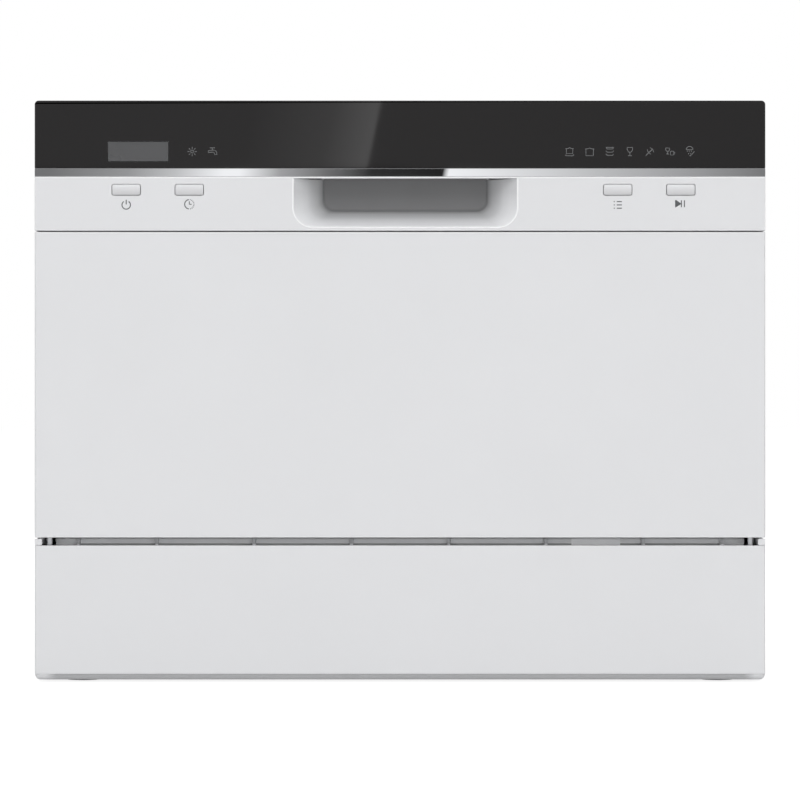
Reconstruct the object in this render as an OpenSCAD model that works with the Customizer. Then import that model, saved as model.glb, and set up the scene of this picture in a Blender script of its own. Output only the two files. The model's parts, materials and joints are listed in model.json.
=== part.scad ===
// Countertop dishwasher: a front-loading cabinet with a drop-down door and a roll-out dish rack.
// Millimetres, +Z up. The front faces -Y and the origin is the centre of the footprint, on the floor.

/* [Cabinet] */
// Overall width
body_w = 550; // [520:1:600]
// Overall depth with the door closed
body_d = 500; // [480:1:540]
// Overall height
body_h = 438; // [430:1:460]
// Thickness of the painted steel sheet
sheet_t = 0.8; // [0.6:0.1:1]
// How far the rubber feet stand below the base
foot_stand = 2; // [1:0.5:4]
// Radius of the base's rounded lower edge
skirt_r = 4.5; // [3:0.5:6]
// Wall of the moulded base
base_wall = 3; // [2.5:0.5:4]
// Width of the folded front flange of each side panel
flange_w = 12; // [8:1:12]
// Height of the top panel's folded edge
top_fold = 12; // [8:1:13]

/* [Front] */
// Height of the plinth panel
plinth_h = 96.6; // [88:0.1:100]
// Gap between the plinth and the door
door_gap = 6; // [5.5:0.1:7]
// Height of the control panel
fascia_h = 98; // [92:1:110]
// Gap between the control panel and the door skin
panel_gap = 0.9; // [0.6:0.1:1.4]
// Height of the black upper window
glass_h = 51; // [44:1:56]
// Height of the bright trim strip
strip_h = 6.4; // [4:0.2:8]
// Thickness of the window and the trim strip
glass_t = 2.5; // [2:0.5:3]
// Wall of the moulded control panel
fascia_wall = 2.5; // [2:0.5:3]
// Radius of the control panel's upper corners
fascia_r = 3; // [1:0.5:6]

/* [Buttons and display] */
// Width of a push button
button_w = 21; // [18:1:24]
// Height of a push button
button_h = 7.8; // [6:0.2:9]
// Gap round a push button
button_gap = 0.45; // [0.3:0.05:0.6]
// How far the buttons stand proud of the panel
button_proud = 0.6; // [0.4:0.1:1]
// Travel of a push button
button_travel = 1.5; // [1:0.1:2]
// Middle of the left pair of buttons, from the left side
buttons_left_in = 92.7; // [85:0.1:105]
// Middle of the right pair of buttons, from the right side
buttons_right_in = 87.4; // [80:0.1:100]
// Spacing of the two buttons of a pair
button_pitch = 47.5; // [40:0.5:52]
// Width of the display
display_w = 45.5; // [36:0.5:52]
// Height of the display
display_h = 14.7; // [10:0.1:18]

/* [Handle] */
// Width of the grip pocket at the front
grip_w = 169; // [150:1:190]
// Height of the grip pocket below the trim strip
grip_h = 38; // [32:0.5:38]
// Depth of the grip pocket
grip_d = 27; // [22:0.5:27]
// Thickness of the lip over the grip pocket
grip_lip = 1.2; // [1:0.1:2.5]
// Middle of the grip pocket
grip_x = 4; // [-6:0.5:8]
// How far the pocket's sides slope in to its back
grip_slope = 23; // [14:1:30]

/* [Door] */
// Thickness of the door, skin to liner
door_t = 35; // [34:0.5:38]
// How far the hinge pin lies behind the door's face
hinge_inset = 12; // [11:0.1:12.4]
// Clearance between the door's swinging edge and the plinth
swing_clear = 1.3; // [1:0.1:1.5]
// Diameter of a hinge pin
pin_d = 6; // [5:0.5:7]
// Radial play of a hinge pin in its arm
pin_play = 0.05; // [0.03:0.01:0.08]
// How far the liner's middle stands into the tub
emboss_d = 6; // [4:0.5:7]
// Width of the detergent dispenser
dispenser_w = 150; // [140:1:160]
// Height of the detergent dispenser
dispenser_h = 106; // [104:1:112]
// Travel of the detergent lid
lid_travel = 48; // [44:0.5:50]

/* [Tub] */
// Space between the tub's sides and the cabinet's sides
tub_side_gap = 33; // [32:0.5:36]
// Thickness of the tub's steel
tub_t = 0.8; // [0.6:0.1:1]
// Radius of the tub's upper corners
tub_r = 16; // [10:1:24]
// Space between the tub's roof and the top panel
tub_roof_gap = 25; // [23:1:30]
// Space between the tub's back and the rear panel
tub_back_gap = 34; // [30:1:40]
// Depth of the round dish pressed in the tub's floor
dish_d = 18; // [16:0.5:20]
// Flat margin of the floor in front of and behind that dish
dish_margin = 11.7; // [9:0.1:20]
// Width of the dish's sloping side
dish_slope_w = 90; // [84:1:94]
// Space between the spray arm's tips and the dish's rim
spray_gap = 6; // [5:0.5:20]

/* [Rack] */
// Diameter of the rack's wire
wire_d = 4; // [3.6:0.2:4.4]
// Diameter of the finer tines
tine_d = 3.5; // [3:0.1:4]
// Space between the rack's wires and the tub's sides
rack_side_gap = 14; // [12:0.5:20]
// Space between the rack's wires and the tub's back
rack_back_gap = 10.4; // [8:0.2:20]
// Height of the rack's rim above its floor
rack_h = 114; // [100:1:130]
// Spacing of the rack's wires
wire_pitch = 43; // [36:1:50]
// Diameter of a rack wheel
wheel_d = 18; // [16:0.5:20]
// Width of a rack wheel
wheel_w = 8; // [6:0.5:9]
// Height of the cutlery basket
cutlery_h = 105; // [90:1:112]
// Length of the cutlery basket
cutlery_l = 200; // [160:1:220]
// Width of the cutlery basket
cutlery_w = 64; // [56:1:68]
// Depth of the folding cup shelf
shelf_w = 84; // [70:1:90]
// Length of the folding cup shelf
shelf_l = 200; // [160:1:240]

/* [Connections] */
// Diameter over the water inlet's thread
inlet_d = 26.4; // [26:0.1:27]
// Length of the water inlet's thread
inlet_l = 12; // [10:0.5:14]
// Diameter of the drain outlet's spigot
drain_d = 18; // [16:0.5:20]
// Length of the drain outlet's spigot
drain_l = 16; // [14:0.5:18]

/* [Hidden] */

// Colours of the real finishes
WHITE = [0.88, 0.88, 0.89];
MOULDED_WHITE = [0.86, 0.86, 0.87];
BLACK = [0.05, 0.05, 0.05];
STEEL = [0.72, 0.73, 0.75];
CHROME = [0.80, 0.81, 0.83];
GREY = [0.55, 0.56, 0.58];
DARK_GREY = [0.25, 0.25, 0.27];
BOARD_GREEN = [0.10, 0.35, 0.20];
BLUE = [0.30, 0.42, 0.62];

// Roundness of bores and large circles, of small rounds, and of hull outlines
FN = 96;
FN_SMALL = 32;
FN_HULL = 32;
// Overshoot of a cut past the face that it opens
CUT = 1;

// Clearances: of a seated piece, round a moving piece, and between welded wires
seat = 0.2;
running = 0.5;
weld_gap = 0.02;

// Sheet metal screws
screw_head_h = 2;
screw_head_d = 8;
screw_d = 3.8;
screw_l = 7;

// Front and rear planes
face_y = -body_d / 2 + button_proud;
rear_y = body_d / 2 - screw_head_h;
side_x = body_w / 2;
door_back_y = face_y + door_t;
seal_gap = 1;
cab_y = door_back_y + seal_gap;

// Levels of the front, from the floor up
plinth_z = foot_stand + skirt_r;
plinth_top = plinth_z + plinth_h;
door_z = plinth_top + door_gap;
fascia_z = body_h - fascia_h;
skin_top = fascia_z - panel_gap;
glass_z = body_h - glass_h;
strip_z = glass_z - strip_h;
button_z = fascia_z + 30.8;
display_x = -side_x + 77.9;
display_z = glass_z + 12.6;

// Hinge axis: high enough for the door's lower edge to swing over the plinth
swing_drop = door_gap - swing_clear;
hinge_rise = (pow(hinge_inset, 2) - pow(swing_drop, 2)) / (2 * swing_drop);
hinge_y = face_y + hinge_inset;
hinge_z = door_z + hinge_rise;
front_swing_r = norm([hinge_inset, hinge_rise]) + 0.7;
back_swing_r = norm([door_t - hinge_inset, hinge_rise]) + 1.2;

// Hinges, from the door's side inwards: bracket, arm and the pin's head
hinge_bracket_x = side_x - 8.5;
hinge_bracket_t = 2;
hinge_arm_x = side_x - 12.5;
hinge_arm_t = 3;
hinge_zone_x = side_x - 18;
hinge_notch_z = hinge_z + 14;
tail_drop = 35;
tail_back = 2;
tail_y = hinge_y - tail_back;
tail_z = hinge_z - tail_drop;
spring_eye_d = 3;

// Cabinet
top_z = body_h - 1;
top_seam = top_z - top_fold;
top_fold_r = 3;
side_z = plinth_z + 1;
base_hx = side_x - sheet_t - seat;
base_top = plinth_top - 4;
base_front_y = face_y + sheet_t + seat;
floor_z = foot_stand + base_wall;

// Tub
ledge_z = hinge_z + door_t - hinge_inset + 1;
tub_hx = side_x - tub_side_gap;
tub_roof_z = top_z - tub_roof_gap;
tub_front_y = cab_y + 8;
floor_front_y = hinge_y + back_swing_r + 0.4;
tub_back_y = rear_y - tub_back_gap;
dish_y = (floor_front_y + tub_back_y) / 2;
dish_r = round(10 * ((tub_back_y - floor_front_y) / 2 - dish_margin)) / 10;
dish_floor_r = dish_r - dish_slope_w;
spray_l = 2 * (dish_r - spray_gap);
dish_floor_z = ledge_z - dish_d;
tub_flange_w = side_x - flange_w - 1.2 - tub_hx - tub_t;
roof_flange_h = 14.7;
gasket_x = tub_hx + tub_t + 9.7;
gasket_z = tub_roof_z + tub_t + 9.2;
nose_wall_y = floor_front_y + tub_t + seat;
guard_y = hinge_y + 15.4;
shelf_hx = hinge_zone_x - 3;

// Sump, spray arm and filter
sump_top = dish_floor_z - tub_t;
sump_h = 56;
sump_d = 84;
sump_wall = 2.5;
hub_d = 22;
hub_top_z = ledge_z + 6;
spray_z = ledge_z + 9;
spray_t = 8;
filter_at = [58, dish_y - 40];
filter_d = 60;
filter_plate_t = 1.6;
filter_plate_d = 2 * dish_floor_r - 8;

// Water path under the tub
pump_z = dish_floor_z - 44;
pump_x = -45;
duct_z = dish_floor_z - 20;
duct_y = dish_y + 17.7;
heater_d = 34;
outlet_x = side_x - 152;
outlet_z = 62;
valve_x = side_x - 85;

// Service niche in the base's rear wall
niche_x = [side_x - 215, side_x - 40];
niche_z = [20, 92];
niche_d = 26;
niche_y = rear_y - niche_d;
gland_at = [side_x - 189, 44];
gland_d = 18;
// Step down of the spigots where they pass the wall
neck = 1.4;

// Fill chamber on the right side wall of the tub
fill_x = tub_hx + tub_t;
fill_t = 17;
fill_y = [tub_back_y - 154, tub_back_y - 9];
fill_z = [ledge_z + 6, ledge_z + 184];
fill_hose_d = 12;
fill_hose_at = [fill_x + fill_t / 2 + 1, fill_y[1] - 25];
vent_at = [fill_y[0] + 70, fill_z[1] - 30];

// Rack
rack_hx = tub_hx - rack_side_gap - wire_d / 2;
rack_front_y = door_back_y + 22;
rack_l = tub_back_y - rack_back_gap - rack_front_y;
rack_hy = rack_l / 2 - wire_d / 2;
rack_cy = rack_front_y + rack_l / 2;
wheel_lift = 0.3;
axle_z = ledge_z + wheel_lift + wheel_d / 2;
axle_d = 6;
grid_z = axle_z + wheel_d / 2 + 13;
rim_z = grid_z + rack_h;
mid_rim_z = grid_z + 59.5;
wire_step = wire_d + weld_gap;
bend_r = 14;
wheel_x = rack_hx - 3;
wheel_ys = [rack_front_y + 64, rack_front_y + rack_l - 84];
long_wires = floor((rack_hx - 8) / wire_pitch);
cross_wires = floor((rack_hy - 12) / wire_pitch);
carrier_x = long_wires * wire_pitch;
rim_bend_r = min(bend_r, rack_hx - carrier_x - wire_d / 2 - 1);
rack_floor_z = grid_z + wire_step + wire_d / 2;
tine_h = 55;
tine_pitch = 46;

// Cutlery basket and cup shelf, both inside the rack's wires
basket_x = rack_hx - wire_step - bend_r + 2 - cutlery_w;
basket_y = rack_cy - 156;
basket_z = rack_floor_z + 0.3;
basket_wall = 2;
shelf_x = -(rack_hx - wire_step) + wire_d / 2 + 7;
shelf_y = [rack_cy - shelf_l / 2, rack_cy + shelf_l / 2];
shelf_z = grid_z + 78;
shelf_t = 3;
shelf_pin_d = 5;

// Dispenser in the door's liner
dispenser_x = -4;
dispenser_z = skin_top - 33 - dispenser_h;
emboss_y = door_back_y + emboss_d;
dispenser_y = emboss_y + 4;
cup_w = 58;
cup_h = 50;
cup_at = [dispenser_x - dispenser_w / 2 + 13, dispenser_z + 14];
lid_t = 2.5;
cap_d = 28;
cap_at = [dispenser_x + dispenser_w / 2 - 35, dispenser_z + dispenser_h - 19];
liner_t = 0.8;
liner_in_y = door_back_y - liner_t;
strike_z = gasket_z + 7;
lock_z = strike_z - 24;

// Box between two opposite corners
module box(low, high) {
  translate(low) cube(high - low);
}

// Rectangle between two opposite corners
module rect(low, high) {
  translate(low) square(high - low);
}

// Rectangle with round corners, between two opposite corners
module round_rect(low, high, r) {
  rect([low[0] + r, low[1]], [high[0] - r, high[1]]);
  rect([low[0], low[1] + r], [high[0], high[1] - r]);
  for (x = [low[0] + r, high[0] - r], y = [low[1] + r, high[1] - r])
    translate([x, y]) circle(r, $fn = FN_SMALL);
}

// Outline in y and z, drawn out along x
module along_x(from, to) {
  translate([from, 0, 0]) rotate([90, 0, 90]) linear_extrude(to - from) children();
}

// Outline in x and z, drawn out along y
module along_y(from, to) {
  translate([0, to, 0]) rotate([90, 0, 0]) linear_extrude(to - from) children();
}

// Outline in x and y, drawn out along z
module along_z(from, to) {
  translate([0, 0, from]) linear_extrude(to - from) children();
}

// Cylinders along each axis: at gives the other two coordinates
module cyl_x(from, to, d, at) {
  translate([from, at[0], at[1]]) rotate([0, 90, 0]) cylinder(d = d, h = to - from, $fn = FN);
}

module cyl_y(from, to, d, at) {
  translate([at[0], from, at[1]]) rotate([-90, 0, 0]) cylinder(d = d, h = to - from, $fn = FN);
}

module cyl_z(from, to, d, at) {
  translate([at[0], at[1], from]) cylinder(d = d, h = to - from, $fn = FN);
}

// A piece of the right side, or its mirror image on the left
module on_side(side) {
  mirror([side < 0 ? 1 : 0, 0, 0]) children();
}

module both_sides() {
  for (side = [-1, 1])
    on_side(side) children();
}

// Quarter bend of a round bar, from +x to +y about the origin
module quarter_bend(r, d) {
  rotate_extrude(angle = 90, $fn = FN) translate([r, 0]) circle(d = d, $fn = FN_SMALL);
}

// U of round wire in x and z: its floor runs along x at z = 0 and its legs stand to height h
module u_wire(w, h, d) {
  cyl_x(-w / 2 + bend_r, w / 2 - bend_r, d, [0, 0]);
  both_sides() {
    cyl_z(bend_r, h, d, [w / 2, 0]);
    translate([w / 2 - bend_r, 0, bend_r]) rotate([90, 0, 0]) mirror([0, 1, 0]) quarter_bend(bend_r, d);
  }
}

// Closed loop of round wire in x and y
module wire_loop(w, l, r, d) {
  both_sides() {
    cyl_y(-l / 2 + r, l / 2 - r, d, [w / 2, 0]);
    translate([w / 2 - r, l / 2 - r, 0]) quarter_bend(r, d);
    translate([w / 2 - r, -l / 2 + r, 0]) mirror([0, 1, 0]) quarter_bend(r, d);
  }
  for (side = [-1, 1])
    cyl_x(-w / 2 + r, w / 2 - r, d, [side * l / 2, 0]);
}

// Heads and shanks of the screws along y, and the holes that they pass
module screws_y(y, spots) {
  for (spot = spots) {
    cyl_y(y, y + screw_head_h, screw_head_d, spot);
    cyl_y(y - screw_l, y + screw_head_h / 2, screw_d, spot);
  }
}

module screw_holes_y(from, to, spots) {
  for (spot = spots)
    cyl_y(from, to, screw_d + 2 * seat, spot);
}

// Places of the rear panel's screws, in x and z
function rear_screws() = [
  for (side = [-1, 1], row = [0:3])
    [side * (side_x - flange_w / 2), base_top + 22 + row * (top_seam - base_top - 44) / 3]
];

// Moulded base: a rounded skirt, a deep tray, and a ribbed nose that fills the gap under the door
module base_tray() {
  rib_pitch = 73.6;
  rib_t = 2.5;
  rib_xs = [for (i = [0:2]) (i + 0.5) * rib_pitch];
  foot_hole_d = 8.4;
  inner_hx = base_hx - base_wall;
  post_w = 15;
  color(MOULDED_WHITE) {
    difference() {
      union() {
        base_skirt();
        box([-base_hx, base_front_y, plinth_z - CUT], [base_hx, rear_y, base_top]);
      }
      // Inside of the tray, and the front wall above its lower part
      box([-inner_hx, base_front_y + base_wall, floor_z], [inner_hx, rear_y - base_wall, base_top + CUT]);
      box([-inner_hx, base_front_y - CUT, floor_z + 35], [inner_hx, cab_y, base_top + CUT]);
      box([niche_x[0], rear_y - base_wall - CUT, niche_z[0]], [niche_x[1], rear_y + CUT, niche_z[1]]);
      for (spot = foot_spots())
        cyl_z(foot_stand - CUT, floor_z + CUT, foot_hole_d, spot);
    }
    service_niche();
    // Side walls beside the door's hinge, closed by a quarter round under the door
    both_sides() {
      box([inner_hx, base_front_y, base_top - CUT], [base_hx, cab_y - running, plinth_top + seat]);
      along_x(side_x - 5.5, side_x) difference() {
        rect([face_y, plinth_top + seat], [cab_y - running, door_z - 1]);
        translate([hinge_y, hinge_z]) circle(front_swing_r, $fn = FN);
      }
      box([shelf_hx - base_wall, base_front_y, floor_z - CUT], [shelf_hx, nose_wall_y + base_wall, base_top]);
    }
    // Nose: a shelf, the wall behind the door's lower edge and the ribs between them
    box([-shelf_hx, base_front_y, base_top - base_wall], [shelf_hx, nose_wall_y + base_wall, base_top]);
    box([-shelf_hx, nose_wall_y, base_top - CUT], [shelf_hx, nose_wall_y + base_wall, ledge_z - tub_t - 4]);
    box([-hinge_arm_x + 1.5, guard_y, base_top - CUT], [hinge_arm_x - 1.5, guard_y + 2, door_z - 1.2]);
    both_sides()
      for (x = concat(rib_xs, [shelf_hx - 10.7]))
        nose_rib(x, rib_t);
    // Posts under the tub's floor
    for (side = [-1, 1], y = [nose_wall_y + 14, tub_back_y - 6 - post_w])
      on_side(side)
        box([tub_hx - 8 - post_w, y, floor_z - CUT], [tub_hx - 8, y + post_w, ledge_z - tub_t]);
  }
}

// Foot of the base with round lower edges and corners
module base_skirt() {
  corner_r = 5;
  up = plinth_z + CUT;
  intersection() {
    along_z(foot_stand, plinth_z) round_rect([-side_x, face_y], [side_x, rear_y], corner_r);
    along_x(-side_x, side_x) union() {
      round_rect([face_y, foot_stand], [rear_y, up + skirt_r], skirt_r);
    }
    along_y(face_y, rear_y) union() {
      round_rect([-side_x, foot_stand], [side_x, up + skirt_r], skirt_r);
    }
  }
}

// Rib with a hollow front that follows the door's swinging edge
module nose_rib(x, t) {
  along_x(x - t / 2, x + t / 2) difference() {
    rect([hinge_y + 3, base_top - CUT], [nose_wall_y + CUT, door_z - 1.2]);
    translate([hinge_y, hinge_z]) circle(front_swing_r, $fn = FN);
  }
}

// Recess for the water and mains connections, open to the rear
module service_niche() {
  t = base_wall;
  difference() {
    box([niche_x[0] - t, niche_y - t, niche_z[0] - t], [niche_x[1] + t, rear_y - t / 2, niche_z[1] + t]);
    box([niche_x[0], niche_y, niche_z[0]], [niche_x[1], rear_y + CUT, niche_z[1]]);
    cyl_y(niche_y - t - CUT, niche_y + CUT, inlet_d + 2 * seat, [valve_x, outlet_z]);
    cyl_y(niche_y - t - CUT, niche_y + CUT, drain_d + 2 * seat, [outlet_x, outlet_z]);
    cyl_y(niche_y - t - CUT, niche_y + CUT, gland_d + 2 * seat, gland_at);
  }
}

// Steel front of the base, folded back along both sides and at the top
module plinth_panel() {
  fold_r = 1.5;
  back_y = cab_y - running;
  color(WHITE) {
    along_z(plinth_z, plinth_top) difference() {
      round_rect([-side_x, face_y], [side_x, back_y + 10], fold_r);
      round_rect([-side_x + sheet_t, face_y + sheet_t], [side_x - sheet_t, back_y + 20], fold_r - sheet_t);
      rect([-side_x - CUT, back_y], [side_x + CUT, back_y + 30]);
    }
    box([-shelf_hx, face_y + sheet_t / 2, plinth_top - sheet_t], [shelf_hx, hinge_y + 2, plinth_top]);
  }
}

// Places of the feet, in x and y
function foot_spots() = [
  for (side = [-1, 1], y = [face_y + 42, rear_y - 42])
    [side * (side_x - 34), y]
];

// Push-in rubber feet
module rubber_feet() {
  color(DARK_GREY)
    for (spot = foot_spots()) {
      cyl_z(0, foot_stand, 26, spot);
      cyl_z(0.5, floor_z + 1, 7.6, spot);
      cyl_z(floor_z, floor_z + 2, 11, spot);
    }
}

// Painted side of the cabinet with its folded flanges
module side_panel(side) {
  lip = 8;
  slot_z = [hinge_z - 36, hinge_z + 13];
  rear_in = rear_y - sheet_t;
  flange_x = side_x - flange_w;
  tongue_x = side_x - top_fold_r - 2 * sheet_t;
  flange_z = top_seam - sheet_t;
  color(WHITE) on_side(side) difference() {
    union() {
      box([side_x - sheet_t, cab_y, side_z], [side_x, rear_in, top_seam]);
      box([flange_x, cab_y, side_z], [side_x, cab_y + sheet_t, top_seam]);
      box([flange_x, cab_y, plinth_top], [flange_x + sheet_t, cab_y + lip, top_seam]);
      box([flange_x, rear_in - sheet_t, base_top + running], [side_x, rear_in, top_seam]);
      // Step at the top, and the tongue that the top panel lies on
      box([tongue_x, cab_y + lip, flange_z], [side_x, rear_in, top_seam]);
      box([tongue_x, cab_y + lip, flange_z], [tongue_x + sheet_t, rear_in - lip, top_z - sheet_t]);
    }
    // The base stands inside the lower part, and the hinge works through the front flange
    translate([flange_x, cab_y, 0]) {
      box([-CUT, -CUT, side_z - CUT], [base_hx + seat - flange_x, lip, base_top + running]);
      box([-CUT, -CUT, slot_z[0]], [flange_w - 4, lip + CUT, slot_z[1]]);
    }
    screw_holes_y(rear_in - 2 * sheet_t, rear_in + CUT, rear_screws());
  }
}

// Lid of the cabinet: bent down over both sides, the front and the rear
module top_panel() {
  fold_r = top_fold_r;
  fold_hx = side_x - fold_r;
  front_fold = 7;
  front_low = top_z - front_fold;
  bend_z = top_z - sheet_t / 2;
  low = top_seam + 0.3;
  color(WHITE) {
    along_y(cab_y, rear_y) difference() {
      round_rect([-side_x, low - 10], [side_x, top_z], fold_r);
      round_rect([-side_x + sheet_t, low - 20], [side_x - sheet_t, top_z - sheet_t], fold_r - sheet_t);
      rect([-side_x - CUT, low - 30], [side_x + CUT, low]);
    }
    difference() {
      box([-fold_hx, cab_y, front_low], [fold_hx, cab_y + sheet_t, bend_z]);
      box([-13, cab_y - CUT, front_low - CUT], [13, cab_y + sheet_t + CUT, strike_z + 6]);
    }
    box([-fold_hx, rear_y - sheet_t, low], [fold_hx, rear_y, bend_z]);
  }
}

// Galvanised back of the cabinet, pressed out in a shallow field for stiffness
module rear_panel() {
  low = base_top + running;
  press = 1.2;
  edge = 34;
  corner_r = 12;
  field_low = [-side_x + edge, low + edge];
  field_high = [side_x - edge, top_seam - edge];
  rim = [sheet_t, sheet_t];
  color(STEEL) difference() {
    union() {
      box([-side_x, rear_y - sheet_t, low], [side_x, rear_y, top_seam]);
      along_y(rear_y - sheet_t - press, rear_y) round_rect(field_low, field_high, corner_r);
    }
    along_y(rear_y - press, rear_y + CUT) round_rect(field_low + rim, field_high - rim, corner_r - sheet_t);
    screw_holes_y(rear_y - sheet_t - CUT, rear_y + CUT, rear_screws());
  }
}

module case_screws() {
  color(STEEL) screws_y(rear_y, rear_screws());
}

// Outline of the tub in x and z, grown by a margin on both sides and at the top
module tub_outline(grow, low) {
  r = tub_r + grow;
  difference() {
    round_rect([-tub_hx - grow, low - 2 * r], [tub_hx + grow, tub_roof_z + grow], r);
    rect([-tub_hx - grow - CUT, low - 2 * r - CUT], [tub_hx + grow + CUT, low]);
  }
}

// Sides and roof of the tub, bent from one sheet, with the front flange that holds the gasket
module tub_wrapper() {
  flange_x = tub_hx + tub_t + tub_flange_w;
  flange_top = tub_roof_z + tub_t + roof_flange_h;
  color(STEEL) difference() {
    union() {
      along_y(tub_front_y, tub_back_y) tub_outline(tub_t, ledge_z);
      along_y(tub_front_y, tub_front_y + tub_t)
        rect([-flange_x, ledge_z], [flange_x, flange_top]);
    }
    along_y(tub_front_y - CUT, tub_back_y + CUT) tub_outline(0, ledge_z - CUT);
    cyl_x(tub_hx - CUT, tub_hx + tub_t + CUT, 35, vent_at);
  }
}

// Back of the tub, pressed out in one field
module tub_back() {
  press = 2;
  edge = 40;
  low = [-tub_hx + edge, ledge_z + edge];
  high = [tub_hx - edge, tub_roof_z - edge];
  rim = [tub_t, tub_t];
  color(STEEL) {
    along_y(tub_back_y, tub_back_y + tub_t) difference() {
      tub_outline(tub_t, ledge_z);
      round_rect(low, high, tub_r);
    }
    along_y(tub_back_y, tub_back_y + press + tub_t) difference() {
      round_rect(low - rim, high + rim, tub_r + tub_t);
      round_rect(low, high, tub_r);
    }
    along_y(tub_back_y + press, tub_back_y + press + tub_t) round_rect(low - rim, high + rim, tub_r + tub_t);
  }
}

// Floor of the tub: a flat ledge for the wheels round a conical dish that drains to the sump
module tub_floor() {
  front_drop = 18;
  color(STEEL) difference() {
    union() {
      difference() {
        box([-tub_hx - tub_t, floor_front_y, ledge_z - tub_t], [tub_hx + tub_t, tub_back_y + tub_t, ledge_z]);
        cyl_z(ledge_z - tub_t - CUT, ledge_z + CUT, 2 * dish_r - 2 * tub_t, [0, dish_y]);
      }
      translate([0, dish_y, 0]) rotate_extrude($fn = FN) polygon([
        [0, dish_floor_z - tub_t],
        [dish_floor_r, dish_floor_z - tub_t],
        [dish_r, ledge_z - tub_t],
        [dish_r, ledge_z],
        [dish_r - tub_t, ledge_z],
        [dish_floor_r - tub_t, dish_floor_z],
        [0, dish_floor_z]
      ]);
      box([-tub_hx, floor_front_y, ledge_z - front_drop], [tub_hx, floor_front_y + tub_t, ledge_z]);
    }
    cyl_z(dish_floor_z - tub_t - CUT, dish_floor_z + CUT, hub_d + 4, [0, dish_y]);
    cyl_z(dish_floor_z - tub_t - CUT, dish_floor_z + CUT, sump_d - 2 * sump_wall, filter_at);
  }
}

// Hollow rubber seal round the door's opening
module door_gasket() {
  gap = 0.4;
  depth = tub_front_y - door_back_y - gap;
  corner = 20;
  low = ledge_z;
  color(DARK_GREY) both_sides() {
    along_z(low, gasket_z - corner) translate([gasket_x, tub_front_y]) gasket_section(depth);
    translate([gasket_x - corner, tub_front_y, gasket_z - corner]) rotate([90, 0, 0])
      rotate_extrude(angle = 90, $fn = FN) translate([corner, 0]) rotate(180) gasket_section(depth);
    translate([0, tub_front_y, gasket_z]) rotate([0, 90, 0]) mirror([1, 0, 0])
      linear_extrude(gasket_x - corner) gasket_section(depth);
  }
}

// Bulb with a flat foot: the foot lies on y = 0 and the bulb reaches to y = -depth
module gasket_section(depth) {
  bulb = depth - 1.5;
  wall = 1.4;
  difference() {
    union() {
      rect([-5, -2.4], [5, 0]);
      translate([0, -depth + bulb / 2]) circle(d = bulb, $fn = FN_SMALL);
    }
    translate([0, -depth + bulb / 2]) circle(d = bulb - 2 * wall, $fn = FN_SMALL);
  }
}

// Sump under the dish: the filter's cup, the post of the spray arm and the ducts to both pumps
module sump() {
  low = sump_top - sump_h;
  suction_z = pump_z;
  cup_x = filter_at[0];
  cup_y = filter_at[1];
  color(GREY) difference() {
    union() {
      cyl_z(low, sump_top, sump_d, filter_at);
      cyl_z(sump_top - sump_wall, sump_top, sump_d + 18, filter_at);
      cyl_z(duct_z - 12, sump_top, hub_d + 14, [0, dish_y]);
      cyl_z(duct_z, hub_top_z, hub_d, [0, dish_y]);
      cyl_x(pump_x + heater_d / 2 + 2, 4, 20, [duct_y, duct_z]);
      cyl_x(cup_x - sump_d / 2 - 6, cup_x, 30, [cup_y, suction_z]);
      cyl_x(cup_x, cup_x + sump_d / 2 + 12, 24, [cup_y, suction_z - 4]);
      // Web between the post and the cup
      translate([0, dish_y, sump_top - 14]) rotate(atan2(cup_y - dish_y, cup_x)) box([0, -9, 0], [40, 9, 14]);
    }
    cyl_z(low + sump_wall, sump_top + CUT, sump_d - 2 * sump_wall, filter_at);
    cyl_z(duct_z - 6, hub_top_z - sump_wall, hub_d - 2 * sump_wall, [0, dish_y]);
    cyl_x(pump_x + heater_d / 2 + 2 - CUT, 0, 15, [duct_y, duct_z]);
    cyl_x(cup_x - sump_d / 2 - 6 - CUT, cup_x, 25, [cup_y, suction_z]);
    cyl_x(cup_x, cup_x + sump_d / 2 + 12 + CUT, 19, [cup_y, suction_z - 4]);
  }
}

// Coarse steel filter plate on the flat of the dish
module filter_plate() {
  rim_h = 3;
  slot_from = 36;
  slot_to = filter_plate_d / 2 - 14;
  slot_mid = (slot_from + slot_to) / 2;
  bridge = 5;
  color(STEEL) difference() {
    union() {
      cyl_z(dish_floor_z, dish_floor_z + filter_plate_t, filter_plate_d, [0, dish_y]);
      cyl_z(dish_floor_z, dish_floor_z + rim_h, hub_d + 14, [0, dish_y]);
    }
    cyl_z(dish_floor_z - CUT, dish_floor_z + rim_h + CUT, hub_d + 2 * running, [0, dish_y]);
    cyl_z(dish_floor_z - CUT, dish_floor_z + rim_h + CUT, filter_d + 2 * running, filter_at);
    // Slots that let the water through
    for (turn = [60:30:270])
      translate([0, dish_y, dish_floor_z - CUT]) rotate(turn) {
        box([slot_from, -2, 0], [slot_mid - bridge, 2, filter_plate_t + 2 * CUT]);
        box([slot_mid + bridge, -2, 0], [slot_to, 2, filter_plate_t + 2 * CUT]);
      }
  }
}

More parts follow.
